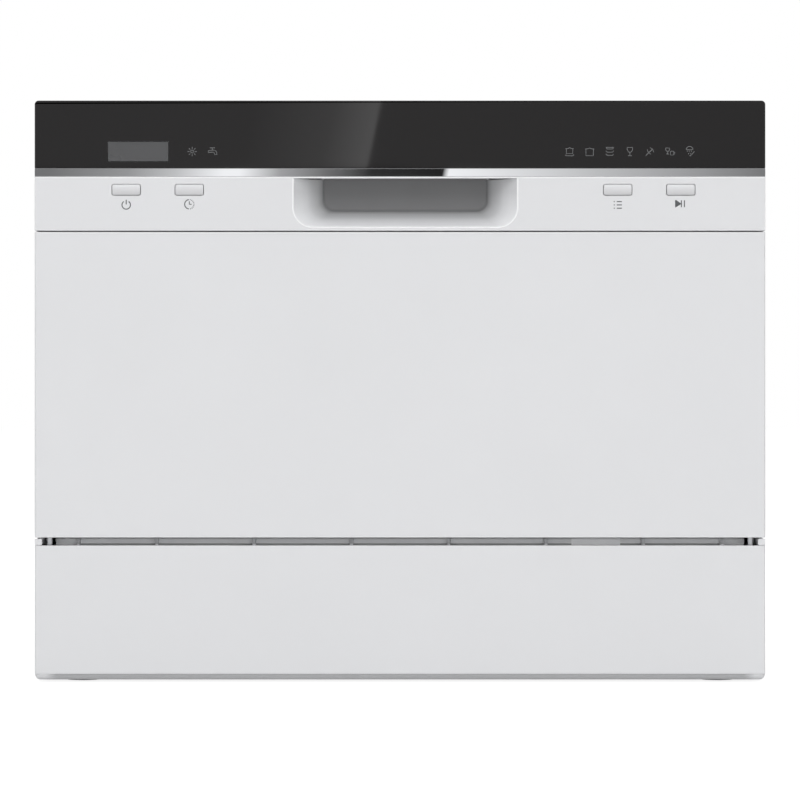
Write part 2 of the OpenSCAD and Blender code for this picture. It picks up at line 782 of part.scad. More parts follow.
// Filter cylinder with its twist grip
module filter_cylinder() {
  flange_z = dish_floor_z + filter_plate_t + 0.3;
  low = dish_floor_z - 36;
  wall = 2;
  grip_t = 7;
  grip_top = flange_z + 17;
  grip_hl = filter_d / 2 - 1.5;
  hole_hl = filter_d / 2 - 10;
  color(GREY) {
    difference() {
      union() {
        cyl_z(low, flange_z + 1, filter_d - 1, filter_at);
        cyl_z(flange_z, flange_z + 2.5, filter_d + 8, filter_at);
      }
      cyl_z(low + wall, flange_z + 2.5 + CUT, filter_d - 1 - 2 * wall, filter_at);
      for (turn = [0:30:150])
        translate([filter_at[0], filter_at[1], low + 6]) rotate(turn)
          box([-filter_d, -3, 0], [filter_d, 3, 22]);
    }
    translate(filter_at) difference() {
      box([-grip_hl, -grip_t / 2, flange_z], [grip_hl, grip_t / 2, grip_top]);
      box([-hole_hl, -grip_t, flange_z + 4], [hole_hl, grip_t, flange_z + 9]);
    }
  }
}

// Lower spray arm: tapered blades on a sleeve that turns on the sump's post
module spray_arm() {
  root_hw = 22;
  tip_r = 13;
  tip_at = spray_l / 2 - tip_r;
  sleeve_d = hub_d + 12;
  bore = hub_d + 0.6;
  hole_pitch = 30;
  color(GREY) translate([0, dish_y, 0]) difference() {
    union() {
      along_z(spray_z, spray_z + spray_t) {
        circle(d = 2 * root_hw + 14, $fn = FN);
        both_sides() {
          translate([tip_at, 0]) circle(r = tip_r, $fn = FN_SMALL);
          polygon([[0, -root_hw], [tip_at, -tip_r], [tip_at, tip_r], [0, root_hw]]);
        }
      }
      cyl_z(spray_z - 15, spray_z + 1, sleeve_d, [0, 0]);
      cyl_z(spray_z + spray_t - 1, spray_z + spray_t + 2, hub_d + 4, [0, 0]);
    }
    cyl_z(spray_z - 15 - CUT, hub_top_z + 0.6, bore, [0, 0]);
    cyl_z(spray_z + 2, spray_z + spray_t - 2, 40, [0, 0]);
    // Channels in both blades and their spray holes
    both_sides() {
      box([0, -8, spray_z + 2], [tip_at, 8, spray_z + spray_t - 2]);
      for (x = [40:hole_pitch:tip_at])
        cyl_z(spray_z + 3, spray_z + spray_t + CUT, 3, [x, 4]);
    }
  }
}

// Wash pump: motor, volute, suction pipe and the cradle on the base's floor
module wash_pump() {
  y = filter_at[1];
  volute_d = 80;
  motor_d = 74;
  suction_x = filter_at[0] - sump_d / 2 - 6;
  color(DARK_GREY) {
    difference() {
      union() {
        cyl_x(pump_x - 15, pump_x + 15, volute_d, [y, pump_z]);
        cyl_x(pump_x + 14, suction_x, 30, [y, pump_z]);
        cyl_y(y, duct_y - 16, 24, [pump_x, duct_z]);
      }
      cyl_x(pump_x, suction_x + CUT, 25, [y, pump_z]);
      cyl_y(y + 20, duct_y - 16 + CUT, 19, [pump_x, duct_z]);
    }
    cyl_x(pump_x - 100, pump_x - 14, motor_d, [y, pump_z]);
    cyl_x(pump_x - 108, pump_x - 99, motor_d - 14, [y, pump_z]);
    for (x = [pump_x - 88, pump_x - 44])
      box([x, y - 26, floor_z], [x + 10, y + 26, pump_z - motor_d / 4]);
  }
}

// Drain pump on its stand
module drain_pump() {
  y = filter_at[1];
  z = pump_z - 4;
  low_x = filter_at[0] + sump_d / 2 + 12;
  color(DARK_GREY) {
    difference() {
      union() {
        cyl_x(low_x, low_x + 24, 56, [y, z]);
        cyl_y(y, y + 42, 20, [outlet_x, outlet_z]);
      }
      cyl_x(low_x - CUT, low_x + 12, 19, [y, z]);
      cyl_y(y + 20, y + 42 + CUT, 15, [outlet_x, outlet_z]);
    }
    cyl_x(low_x + 23, low_x + 74, 44, [y, z]);
    box([low_x + 34, y - 18, floor_z], [low_x + 64, y + 18, z - 15]);
  }
}

// Ribbed hose from the drain pump to the outlet
module drain_hose() {
  from = filter_at[1] + 30;
  to = niche_y - 20;
  bore = 20.4;
  rings = floor((to - from - 24) / 10);
  color(DARK_GREY) difference() {
    union() {
      cyl_y(from, to, bore + 3.2, [outlet_x, outlet_z]);
      for (i = [0:rings])
        cyl_y(from + 10 + i * 10, from + 14 + i * 10, bore + 6, [outlet_x, outlet_z]);
    }
    cyl_y(from - CUT, to + CUT, bore, [outlet_x, outlet_z]);
  }
}

// Drain spigot through the niche's wall
module drain_outlet() {
  wall_y = niche_y - base_wall;
  color(GREY) difference() {
    union() {
      cyl_y(wall_y - 30, wall_y, 20, [outlet_x, outlet_z]);
      cyl_y(wall_y - 3, wall_y, 34, [outlet_x, outlet_z]);
      cyl_y(wall_y - CUT, niche_y + CUT, drain_d - neck, [outlet_x, outlet_z]);
      cyl_y(niche_y, niche_y + drain_l, drain_d, [outlet_x, outlet_z]);
    }
    cyl_y(wall_y - 30 - CUT, niche_y + drain_l + CUT, 13, [outlet_x, outlet_z]);
  }
}

// Flow heater between the wash pump and the spray arm's duct
module flow_heater() {
  from = duct_y - 16;
  color(STEEL) {
    difference() {
      union() {
        cyl_y(from, from + 80, heater_d, [pump_x, duct_z]);
        cyl_x(pump_x, pump_x + heater_d / 2 + 2, 22, [duct_y, duct_z]);
      }
      cyl_y(from - CUT, from + 76, heater_d - 4, [pump_x, duct_z]);
      cyl_x(pump_x, pump_x + heater_d / 2 + 2 + CUT, 15, [duct_y, duct_z]);
    }
    for (x = [-6, 6])
      box([pump_x + x - 3, from + 79, duct_z - 0.4], [pump_x + x + 3, from + 90, duct_z + 0.4]);
  }
}

// Inlet valve: thread through the niche's wall, body, two coils and the hose stub
module inlet_valve() {
  wall_y = niche_y - base_wall;
  body_hw = 17;
  body_hh = 14;
  stub_y = fill_hose_at[1];
  color(GREY) difference() {
    union() {
      cyl_y(wall_y - CUT, niche_y + CUT, inlet_d - neck, [valve_x, outlet_z]);
      cyl_y(niche_y, niche_y + inlet_l, inlet_d, [valve_x, outlet_z]);
      cyl_y(wall_y - 4, wall_y, 40, [valve_x, outlet_z]);
      translate([valve_x, wall_y, outlet_z]) box([-body_hw, -38, -body_hh], [body_hw, -3, body_hh]);
      cyl_z(outlet_z + body_hh - CUT, outlet_z + body_hh + 16, fill_hose_d, [valve_x, stub_y]);
    }
    cyl_y(wall_y - 6, niche_y + inlet_l + CUT, 16, [valve_x, outlet_z]);
  }
  color(BLUE)
    for (x = [-11, 11])
      cyl_z(outlet_z - body_hh - 26, outlet_z - body_hh + 0.1, 20, [valve_x + x, wall_y - 20]);
}

// Hose from the valve up to the fill chamber
module fill_hose() {
  run_z = ledge_z - 22;
  y = fill_hose_at[1];
  color(DARK_GREY) {
    cyl_z(outlet_z + 30, run_z, fill_hose_d, [valve_x, y]);
    cyl_x(valve_x, fill_hose_at[0], fill_hose_d, [y, run_z]);
    cyl_z(run_z, fill_z[0], fill_hose_d, [fill_hose_at[0], y]);
    for (x = [valve_x, fill_hose_at[0]])
      translate([x, y, run_z]) sphere(d = fill_hose_d + seat, $fn = FN);
  }
}

// Flat fill chamber with the air gap, and its vent nut inside the tub
module fill_chamber() {
  channel = 16;
  pitch = 27;
  channel_top = fill_z[1] - 62;
  color(GREY) {
    difference() {
      box([fill_x, fill_y[0], fill_z[0]], [fill_x + fill_t, fill_y[1], fill_z[1]]);
      // Labyrinth channels pressed in the outer face
      for (i = [0:4])
        translate([fill_x, fill_y[0] + 8 + i * pitch, 0])
          box([5, 0, fill_z[0] + 10], [fill_t + CUT, channel, channel_top]);
    }
    difference() {
      union() {
        cyl_x(tub_hx - 3, fill_x + CUT, 34, vent_at);
        cyl_x(tub_hx - 5, tub_hx, 46, vent_at);
      }
      cyl_x(tub_hx - 5 - CUT, fill_x + 5, 26, vent_at);
    }
    for (i = [-1:1])
      translate([tub_hx, vent_at[0] + i * 8, vent_at[1]]) box([-5, -1, -14], [-2, 1, 14]);
  }
}

// Float and switch that notice water in the base
module leak_switch() {
  at = [-side_x + 80, face_y + 100];
  color(WHITE) {
    cyl_z(floor_z + 4, floor_z + 16, 46, at);
    cyl_z(floor_z, floor_z + 40, 8, at);
    box([at[0] - 12, at[1] - 8, floor_z + 28], [at[0] + 30, at[1] + 8, floor_z + 46]);
    box([at[0] + 26, at[1] - 8, floor_z], [at[0] + 30, at[1] + 8, floor_z + 30]);
  }
}

// Bushing for the mains lead in the niche's wall
module cord_gland() {
  wall_y = niche_y - base_wall;
  color(DARK_GREY) difference() {
    union() {
      cyl_y(wall_y - 10, niche_y + 3, gland_d, gland_at);
      cyl_y(niche_y, niche_y + 3, gland_d + 8, gland_at);
      translate([gland_at[0], wall_y, gland_at[1]]) rotate([90, 0, 0])
        cylinder(d = gland_d + 10, h = 6, $fn = 6);
    }
    cyl_y(wall_y - 10 - CUT, niche_y + 3 + CUT, 8, gland_at);
  }
}

// Striker of the door lock, welded behind the tub's front flange
module door_strike() {
  t = 3;
  tongue = 24;
  y = tub_front_y + tub_t;
  color(STEEL) difference() {
    union() {
      box([-14, y, gasket_z - 8], [14, y + 2, strike_z + t]);
      box([-7, tub_front_y - tongue, strike_z], [7, y + 2, strike_z + t]);
    }
    box([-4, tub_front_y - tongue + 3, strike_z - CUT], [4, tub_front_y - tongue + 8, strike_z + t + CUT]);
  }
}

// Fixed half of a hinge: a plate from the base's floor with the hinge pin
module hinge_bracket(side) {
  t = hinge_bracket_t;
  plate_y = [cab_y + 5, cab_y + 28];
  head_x = hinge_arm_x - 2.5;
  arm_hw = 7;
  color(WHITE) on_side(side) {
    along_x(hinge_bracket_x, hinge_bracket_x + t) {
      translate([hinge_y, hinge_z]) circle(arm_hw, $fn = FN);
      polygon([
        [hinge_y, hinge_z + arm_hw],
        [plate_y[1], hinge_z + arm_hw],
        [plate_y[1], floor_z],
        [plate_y[0], floor_z],
        [plate_y[0], hinge_z - 40],
        [hinge_y + 19, hinge_z - 12],
        [hinge_y + 14, hinge_z - arm_hw],
        [hinge_y, hinge_z - arm_hw]
      ]);
    }
    box([hinge_bracket_x, plate_y[1] - 2, floor_z], [base_hx - base_wall, plate_y[1], base_top - 14]);
    cyl_x(head_x, hinge_bracket_x + t / 2, pin_d, [hinge_y, hinge_z]);
    cyl_x(head_x, hinge_arm_x - running, pin_d + 4, [hinge_y, hinge_z]);
  }
}

// Moving half of a hinge: it stiffens the door's side and its tail pulls the spring
module hinge_arm(side) {
  hw = 8;
  height = 112;
  foot_z = hinge_z + 22;
  top = hinge_z + height;
  out_x = hinge_arm_x + hinge_arm_t;
  color(STEEL) on_side(side) {
    difference() {
      along_x(hinge_arm_x, hinge_arm_x + hinge_arm_t) {
        translate([hinge_y, hinge_z]) circle(hw, $fn = FN);
        rect([hinge_y - hw, hinge_z], [hinge_y + hw, foot_z + 4]);
        rect([hinge_y - hw, foot_z], [liner_in_y, top]);
        rect([tail_y - 4.5, tail_z], [tail_y + 4.5, hinge_z]);
        translate([tail_y, tail_z]) circle(4.5, $fn = FN);
      }
      cyl_x(hinge_arm_x - CUT, out_x + CUT, pin_d + 2 * pin_play, [hinge_y, hinge_z]);
      cyl_x(hinge_arm_x - CUT, out_x + CUT, spring_eye_d, [tail_y, tail_z]);
      // Lightening hole in the tall part
      box([hinge_arm_x - CUT, hinge_y, foot_z + 14], [out_x + CUT, liner_in_y - 6, top - 14]);
    }
    box([hinge_arm_x - 9, liner_in_y - 2.5, foot_z], [out_x, liner_in_y, top]);
  }
}

// Extension spring from the hinge's tail to the base's floor
module door_spring(side) {
  mid_x = hinge_arm_x + hinge_arm_t / 2;
  link_gap = hinge_arm_t / 2 + running;
  link_t = 0.9;
  link_out = link_gap + link_t;
  coil_d = 8;
  coil_wire = 2;
  coil_r = (coil_d - coil_wire) / 2;
  coil_top = tail_z - 12;
  coil_low = floor_z + 12;
  turns = floor((coil_top - coil_low) / (coil_wire + 0.6));
  pitch = (coil_top - coil_low) / turns;
  color(STEEL) on_side(side) {
    cyl_x(mid_x - link_out, mid_x + link_out, spring_eye_d - 1, [tail_y, tail_z]);
    for (x = [mid_x - link_out, mid_x + link_gap])
      box([x, tail_y - 1.2, coil_top], [x + link_t, tail_y + 1.2, tail_z + 1.2]);
    box([mid_x - link_out, tail_y - 1.2, coil_top - 1], [mid_x + link_out, tail_y + 1.2, coil_top + 1]);
    translate([mid_x, tail_y, 0]) rotate_extrude($fn = FN_SMALL) {
      for (i = [0:turns - 1])
        translate([coil_r, coil_low + (i + 0.5) * pitch]) circle(d = coil_wire, $fn = FN_SMALL);
      rect([coil_r - 0.4, coil_low], [coil_r + 0.4, coil_top]);
      rect([0, coil_top - 1.5], [coil_d / 2 - 0.6, coil_top]);
      rect([0, coil_low], [coil_d / 2 - 0.6, coil_low + 1.5]);
    }
    cyl_z(floor_z, coil_low + 1, 3, [mid_x, tail_y]);
  }
}

// Painted outer skin of the door, folded along both sides, the bottom and the top
module door_skin() {
  fold_r = 1.5;
  back_y = liner_in_y - 2;
  color(WHITE) {
    along_z(door_z, skin_top) difference() {
      round_rect([-side_x, face_y], [side_x, back_y + 10], fold_r);
      round_rect([-side_x + sheet_t, face_y + sheet_t], [side_x - sheet_t, back_y + 20], fold_r - sheet_t);
      rect([-side_x - CUT, back_y], [side_x + CUT, back_y + 30]);
    }
    box([-hinge_zone_x, face_y + sheet_t / 2, door_z], [hinge_zone_x, hinge_y + 16, door_z + sheet_t]);
    box([-hinge_zone_x, face_y + sheet_t / 2, skin_top - sheet_t], [hinge_zone_x, face_y + 14, skin_top]);
  }
}

// Middles of the four push buttons, from left to right
function button_xs() = [
  -side_x + buttons_left_in - button_pitch / 2,
  -side_x + buttons_left_in + button_pitch / 2,
  side_x - buttons_right_in - button_pitch / 2,
  side_x - buttons_right_in + button_pitch / 2
];

// Outline of a button, or of its opening, in x and z
module button_outline(x, grow) {
  r = 1.2;
  round_rect(
    [x - button_w / 2 - grow, button_z - button_h / 2 - grow],
    [x + button_w / 2 + grow, button_z + button_h / 2 + grow],
    r + grow
  );
}

// Moulded control panel with the grip pocket and the seats of the window, the trim and the buttons
module control_panel() {
  back_y = liner_in_y - 0.3;
  w = fascia_wall;
  color(WHITE) difference() {
    union() {
      difference() {
        intersection() {
          along_x(-side_x, side_x) polygon([
            [face_y, fascia_z],
            [face_y, strip_z],
            [face_y + glass_t, strip_z],
            [face_y + glass_t, body_h],
            [back_y, body_h],
            [back_y, fascia_z]
          ]);
          along_y(face_y, back_y) round_top(fascia_z, fascia_r);
        }
        box([-side_x + w, face_y + glass_t + w, fascia_z + w], [side_x - w, back_y + CUT, body_h - w]);
        box([-side_x + w, face_y + w, fascia_z + w], [side_x - w, back_y + CUT, strip_z - w]);
      }
      grip_form(2);
      panel_posts();
    }
    grip_form(0);
    lip_space(0);
    for (x = button_xs())
      along_y(face_y - CUT, face_y + w + CUT) button_outline(x, button_gap);
    along_y(face_y, face_y + glass_t + w + CUT) rect(display_low(-0.5), display_high(-0.5));
  }
}

// Front outline with two round upper corners, in x and z
module round_top(low, r) {
  difference() {
    round_rect([-side_x, low - 3 * r], [side_x, body_h], r);
    rect([-side_x - CUT, low - 4 * r], [side_x + CUT, low]);
  }
}

function grip_back_hw() = grip_w / 2 - grip_slope;

// Grip pocket: a wide mouth that narrows and rises to its back
module grip_form(grow) {
  mouth_r = 15;
  back_r = 8;
  back_low = strip_z - grip_h + 13.4;
  mouth_low = strip_z - grip_h;
  plate = 0.1;
  back_y = face_y + grip_d + grow;
  hull() {
    along_y(face_y + (grow > 0 ? 0.2 : -0.2), face_y + 0.3)
      grip_outline(grip_w / 2 + grow, mouth_low - grow, mouth_r);
    along_y(back_y - plate, back_y) grip_outline(grip_back_hw() + grow, back_low - grow, back_r);
  }
  if (grow > 0)
    lip_space(grow);
}

// Space behind the pocket's upper lip for the finger tips
module lip_space(grow) {
  hw = grip_back_hw() + grow;
  rise = 6;
  translate([grip_x, face_y, strip_z])
    box([-hw, 9 - grow, -rise], [hw, grip_d + grow, rise + grow]);
}

module grip_outline(hw, low, r) {
  top = strip_z - grip_lip;
  rect([grip_x - hw, low + r], [grip_x + hw, top]);
  rect([grip_x - hw + r, low], [grip_x + hw - r, top]);
  for (side = [-1, 1])
    translate([grip_x + side * (hw - r), low + r]) circle(r, $fn = FN_HULL);
}

// Posts that carry the control board
module panel_posts() {
  for (side = [-1, 1]) {
    cyl_y(face_y + 2, board_y(), 6, [side * (side_x - 20), fascia_z + 10]);
    cyl_y(face_y + glass_t + 2, board_y(), 6, [side * (side_x - 20), lock_z - 8]);
  }
}

function board_y() = face_y + 13.4;

function display_low(grow) = [display_x - display_w / 2 - grow, display_z - display_h / 2 - grow];
function display_high(grow) = [display_x + display_w / 2 + grow, display_z + display_h / 2 + grow];

// Black glossy window over the upper half of the panel
module fascia_window() {
  color(BLACK) along_y(face_y, face_y + glass_t) difference() {
    round_top(glass_z, fascia_r);
    rect(display_low(0.1), display_high(0.1));
  }
}

// Bright strip between the window and the white part
module trim_strip() {
  chamfer = 0.8;
  color(CHROME) along_x(-side_x, side_x) polygon([
    [face_y + glass_t, strip_z],
    [face_y + chamfer, strip_z],
    [face_y, strip_z + chamfer],
    [face_y, glass_z - chamfer],
    [face_y + chamfer, glass_z],
    [face_y + glass_t, glass_z]
  ]);
}

module display_window() {
  color(DARK_GREY) along_y(face_y + 0.1, face_y + glass_t) round_rect(display_low(0), display_high(0), 0.8);
}

// Push button: cap, retaining flange behind the wall and stem to its switch
module push_button(x) {
  front = face_y - button_proud;
  wall_back = face_y + fascia_wall;
  stem_d = 5;
  color(WHITE) {
    along_y(front, wall_back + 1.8) button_outline(x, 0);
    along_y(wall_back + 0.2, wall_back + 1.4) button_outline(x, 1.6);
    cyl_y(wall_back, board_y() - 2.5 - button_travel - 0.3, stem_d, [x, button_z]);
  }
}

module button_power() { push_button(button_xs()[0]); }
module button_delay() { push_button(button_xs()[1]); }
module button_program() { push_button(button_xs()[2]); }
module button_start() { push_button(button_xs()[3]); }

// Circuit board round the grip pocket, with its switches, the display module and a relay row
module control_board() {
  y = board_y();
  t = 1.6;
  hw = side_x - 15;
  low = fascia_z + 5;
  high = lock_z - 2;
  color(BOARD_GREEN) along_y(y, y + t) difference() {
    rect([-hw, low], [hw, high]);
    rect([grip_x - grip_w / 2 - 6, low - CUT], [grip_x + grip_w / 2 + 6, strip_z + 14]);
  }
  color(DARK_GREY) {
    for (x = button_xs())
      box([x - 3, y - 2.5, button_z - 3], [x + 3, y, button_z + 3]);
    along_y(face_y + glass_t + 0.3, y) rect(display_low(-1.5), display_high(-1.5));
    for (i = [0:3])
      translate([104 + i * 22, y + t, low + 6]) cube([16, 13, 20]);
  }
}

// Lock housing behind the top of the liner, with the slot for the striker
module door_lock() {
  slot_hw = 10.5;
  high = body_h - fascia_wall - 0.5;
  color(DARK_GREY) difference() {
    box([-28, liner_in_y - 24, lock_z], [28, liner_in_y, high]);
    box([-slot_hw, liner_in_y - 17, strike_z - 2.5], [slot_hw, liner_in_y + CUT, strike_z + 5.5]);
  }
}

// Steel inner face of the door: flat tracks for the rack's wheels beside a raised middle
module door_liner() {
  hx = base_hx - seat;
  low = door_z + 1;
  high = body_h - fascia_wall - 0.6;
  pan_low = [-tub_hx + 28, ledge_z + 22];
  pan_high = [tub_hx - 28, tub_roof_z - 18];
  pan_r = 14;
  color(STEEL) difference() {
    union() {
      along_y(liner_in_y, door_back_y) difference() {
        rect([-hx, low], [hx, high]);
        round_rect(pan_low, pan_high, pan_r);
      }
      along_y(liner_in_y, emboss_y) difference() {
        round_rect(pan_low - [liner_t, liner_t], pan_high + [liner_t, liner_t], pan_r + liner_t);
        round_rect(pan_low, pan_high, pan_r);
      }
      along_y(emboss_y - liner_t, emboss_y)
        round_rect(pan_low - [liner_t, liner_t], pan_high + [liner_t, liner_t], pan_r + liner_t);
    }
    // Corners for the hinges, the lock's slot, the dispenser and the screws
    both_sides()
      box([hinge_zone_x + 0.5, liner_in_y - CUT, low - CUT], [hx + CUT, door_back_y + CUT, hinge_notch_z]);
    box([-10.5, liner_in_y - CUT, strike_z - 2.5], [10.5, door_back_y + CUT, high + CUT]);
    box(
      [dispenser_x - dispenser_w / 2 + 4 - seat, emboss_y - liner_t - CUT, dispenser_z + 4 - seat],
      [dispenser_x + dispenser_w / 2 - 4 + seat, emboss_y + CUT, dispenser_z + dispenser_h - 4 + seat]
    );
    screw_holes_y(liner_in_y - CUT, door_back_y + CUT, door_screw_spots());
  }
}

// Places of the liner's screws, in x and z, beside the wheel tracks and above the raised middle
function door_screw_spots() = concat(
  [for (side = [-1, 1], z = [ledge_z + 60, skin_top - 43]) [side * (tub_hx - 6), z]],
  [for (x = [-tub_hx + 52, -80, 80, tub_hx - 52]) [x, tub_roof_z - 8]]
);

module door_screws() {
  head_h = 1.6;
  head_d = 7;
  color(STEEL)
    for (spot = door_screw_spots()) {
      cyl_y(door_back_y, door_back_y + head_h, head_d, spot);
      cyl_y(door_back_y - 9, door_back_y + 1, screw_d, spot);
    }
}

// Rubber lip along the door's lower edge
module lower_seal() {
  reach = floor_front_y - door_back_y - 0.4;
  low = ledge_z - 13;
  color(DARK_GREY) along_x(-tub_hx + 7, tub_hx - 7) polygon([
    [door_back_y, low],
    [door_back_y, low + 9],
    [door_back_y + 2, low + 9],
    [door_back_y + reach, low + 6],
    [door_back_y + reach, low + 4],
    [door_back_y + 2, low]
  ]);
}

// Detergent and rinse aid dispenser set in the door
module dispenser_body() {
  flange_t = dispenser_y - emboss_y;
  low = [dispenser_x - dispenser_w / 2, dispenser_z];
  high = [dispenser_x + dispenser_w / 2, dispenser_z + dispenser_h];
  cup_high = [cup_at[0] + cup_w, cup_at[1] + cup_h];
  cup_depth = 16;
  rail = 2.4;
  rail_x = [low[0] + 8, high[0] - 8];
  lip_y = dispenser_y + lid_t + 0.5;
  color(GREY) {
    difference() {
      union() {
        along_y(dispenser_y - flange_t, dispenser_y) round_rect(low, high, 8);
        box([low[0] + 4, emboss_y - 22, low[1] + 4], [high[0] - 4, dispenser_y - 1, high[1] - 4]);
      }
      along_y(dispenser_y - cup_depth, dispenser_y + CUT) round_rect(cup_at, cup_high, 6);
      cyl_y(dispenser_y - 7, dispenser_y + CUT, cap_d + 2 * running, cap_at);
    }
    // Hooked rails above and below the lid
    for (z = [cup_at[1] - 3 - rail, cup_high[1] + 3])
      box([rail_x[0], dispenser_y - CUT, z], [rail_x[1], lip_y + 1.2, z + rail]);
    for (z = [cup_at[1] - 3, cup_high[1] + 2])
      box([rail_x[0], lip_y, z], [rail_x[1], lip_y + 1.2, z + 1]);
  }
}

// Lid of the detergent cup, which slides aside between the rails
module dispenser_lid() {
  gap = 0.3;
  low = [cup_at[0] - 3, cup_at[1] - 3 + gap];
  high = [cup_at[0] + cup_w + 4, cup_at[1] + cup_h + 3 - gap];
  front = dispenser_y + seat + lid_t;
  color(MOULDED_WHITE) {
    box([low[0], dispenser_y + seat, low[1]], [high[0], front, high[1]]);
    // Finger ridge
    box([low[0] + 6, front - CUT, low[1] + 10], [low[0] + 9, front + 2.4, high[1] - 10]);
  }
}

// Quarter-turn cap of the rinse aid tank
module rinse_cap() {
  skirt = 6;
  grip_hl = cap_d / 2 - 3;
  color(DARK_GREY) {
    cyl_y(dispenser_y - skirt, dispenser_y + 1.5, cap_d, cap_at);
    translate([cap_at[0], dispenser_y, cap_at[1]]) box([-grip_hl, 1, -2.5], [grip_hl, 6, 2.5]);
  }
}

// Rim of the rack: two wire loops round the uprights
module rack_rim() {
  color(WHITE)
    for (z = [mid_rim_z, rim_z - wire_d])
      translate([0, rack_cy, z]) wire_loop(2 * rack_hx, 2 * rack_hy, rim_bend_r, wire_d);
}

// Wires from front to back, with their uprights
module rack_long_wires() {
  color(WHITE)
    for (i = [-long_wires:long_wires])
      translate([i * wire_pitch, rack_cy, grid_z]) rotate(90)
        u_wire(2 * (rack_hy - wire_step), rim_z - grid_z, wire_d);
}

// Wires from side to side, which lie on the long ones
module rack_cross_wires() {
  color(WHITE)
    for (i = [-cross_wires:cross_wires])
      translate([0, rack_cy + i * wire_pitch, grid_z + wire_step])
        u_wire(2 * (rack_hx - wire_step), rim_z - grid_z - wire_step, wire_d);
}

// Rows of plate tines on the cross wires
module rack_tines() {
  color(WHITE)
    for (row = [-cross_wires:cross_wires], i = [-2:2])
      translate([i * tine_pitch + 5, rack_cy + row * wire_pitch, rack_floor_z + weld_gap]) {
        cylinder(d = tine_d, h = tine_h, $fn = FN_SMALL);
        translate([0, 0, tine_h]) sphere(d = tine_d, $fn = FN_SMALL);
      }
}

// Plastic carriers clipped on the outer wires, each with the axle of a wheel
module wheel_carriers() {
  w = 8;
  hl = 11;
  low = axle_z - 6;
  high = grid_z + wire_d / 2 + 1.5;
  color(GREY) both_sides()
    for (y = wheel_ys) {
      difference() {
        box([carrier_x - w / 2, y - hl, low], [carrier_x + w / 2 - 1, y + hl, high]);
        cyl_y(y - hl - CUT, y + hl + CUT, wire_d + 2 * weld_gap, [carrier_x, grid_z]);
        box([carrier_x - w, y - hl - CUT, grid_z], [carrier_x + w, y + hl + CUT, high + CUT]);
      }
      cyl_x(carrier_x, wheel_x + wheel_w / 2 + 2, axle_d, [y, axle_z]);
      cyl_x(wheel_x + wheel_w / 2 + 0.4, wheel_x + wheel_w / 2 + 2, axle_d + 4, [y, axle_z]);
    }
}

// A pair of rack wheels on one axis
module wheel_pair(y) {
  play = 0.1;
  color(GREY) both_sides() difference() {
    cyl_x(wheel_x - wheel_w / 2, wheel_x + wheel_w / 2, wheel_d, [y, axle_z]);
    cyl_x(wheel_x - wheel_w / 2 - CUT, wheel_x + wheel_w / 2 + CUT, axle_d + 2 * play, [y, axle_z]);
    // Recess in the outer face that leaves a rim and a hub
    difference() {
      cyl_x(wheel_x + wheel_w / 2 - 2, wheel_x + wheel_w / 2 + CUT, wheel_d - 4, [y, axle_z]);
      cyl_x(wheel_x + wheel_w / 2 - 3, wheel_x + wheel_w / 2 + 2 * CUT, axle_d + 3, [y, axle_z]);
    }
  }
}

module front_wheels() { wheel_pair(wheel_ys[0]); }
module rear_wheels() { wheel_pair(wheel_ys[1]); }

// Cutlery basket with slotted walls, two dividers and an arched handle
module cutlery_basket() {
  t = basket_wall;
  low = [basket_x, basket_y, basket_z];
  high = [basket_x + cutlery_w, basket_y + cutlery_l, basket_z + cutlery_h];
  slot_w = 12;
  slot_pitch = 20;
  slot_h = cutlery_h - 36;
  slots = floor((cutlery_l - 20) / slot_pitch);
  cell = (cutlery_l - t) / 3;
  handle_w = 50;
  mid_y = basket_y + cutlery_l / 2;
  color(GREY) {
    difference() {
      box(low, high);
      for (i = [0:2])
        translate(low + [t, t + i * cell, t]) cube([cutlery_w - 2 * t, cell - t, cutlery_h]);
      // Slots in the long walls, then in the end walls
      for (i = [0:slots - 1])
        translate(low + [-CUT, 16 + i * slot_pitch, 14]) cube([cutlery_w + 2 * CUT, slot_w, slot_h]);
      for (i = [0:3])
        translate(low + [8 + i * 14, -CUT, 14]) cube([6, cutlery_l + 2 * CUT, slot_h]);
    }
    // Handle over the middle cell
    along_x(low[0] + cutlery_w / 2 - 3, low[0] + cutlery_w / 2 + 3) difference() {
      translate([mid_y, high[2] - handle_w / 2 + 10]) circle(handle_w / 2 + 8, $fn = FN);
      translate([mid_y, high[2] - handle_w / 2 + 10]) circle(handle_w / 2 + 3, $fn = FN);
      rect([mid_y - handle_w, high[2] - 2 * handle_w], [mid_y + handle_w, high[2] - 16]);
    }
    for (i = [1:2])
      translate(low + [t / 2, i * cell, t / 2]) cube([cutlery_w - t, t, cutlery_h - t / 2]);
  }
}

// Folding shelf for cups: a slotted leaf with lugs on the clips' pins
module cup_shelf() {
  lug_w = 6;
  pin_hole = shelf_pin_d + 0.4;
  rib_h = 4;
  edge_x = shelf_x + shelf_w;
  low = shelf_z - shelf_t / 2;
  high = shelf_z + shelf_t / 2;
  slots = 10;
  slot_pitch = (shelf_l - 10) / slots;
  color(GREY) difference() {
    union() {
      box([shelf_x + 6, shelf_y[0], low], [edge_x, shelf_y[1], high]);
      box([edge_x - 3, shelf_y[0], low], [edge_x, shelf_y[1], high + rib_h]);
      for (y = clip_ys()) {
        cyl_y(y + 7, y + 7 + lug_w, pin_hole + 6, [shelf_x, shelf_z]);
        box([shelf_x, y + 7, shelf_z - shelf_t], [shelf_x + 10, y + 7 + lug_w, high]);
      }
    }
    for (y = clip_ys())
      cyl_y(y + 7 - CUT, y + 7 + lug_w + CUT, pin_hole, [shelf_x, shelf_z]);
    for (i = [0:slots - 1])
      translate([shelf_x + 16, shelf_y[0] + 8 + i * slot_pitch, low - CUT])
        cube([shelf_w - 25, slot_pitch / 2, shelf_t + 2 * CUT]);
  }
}

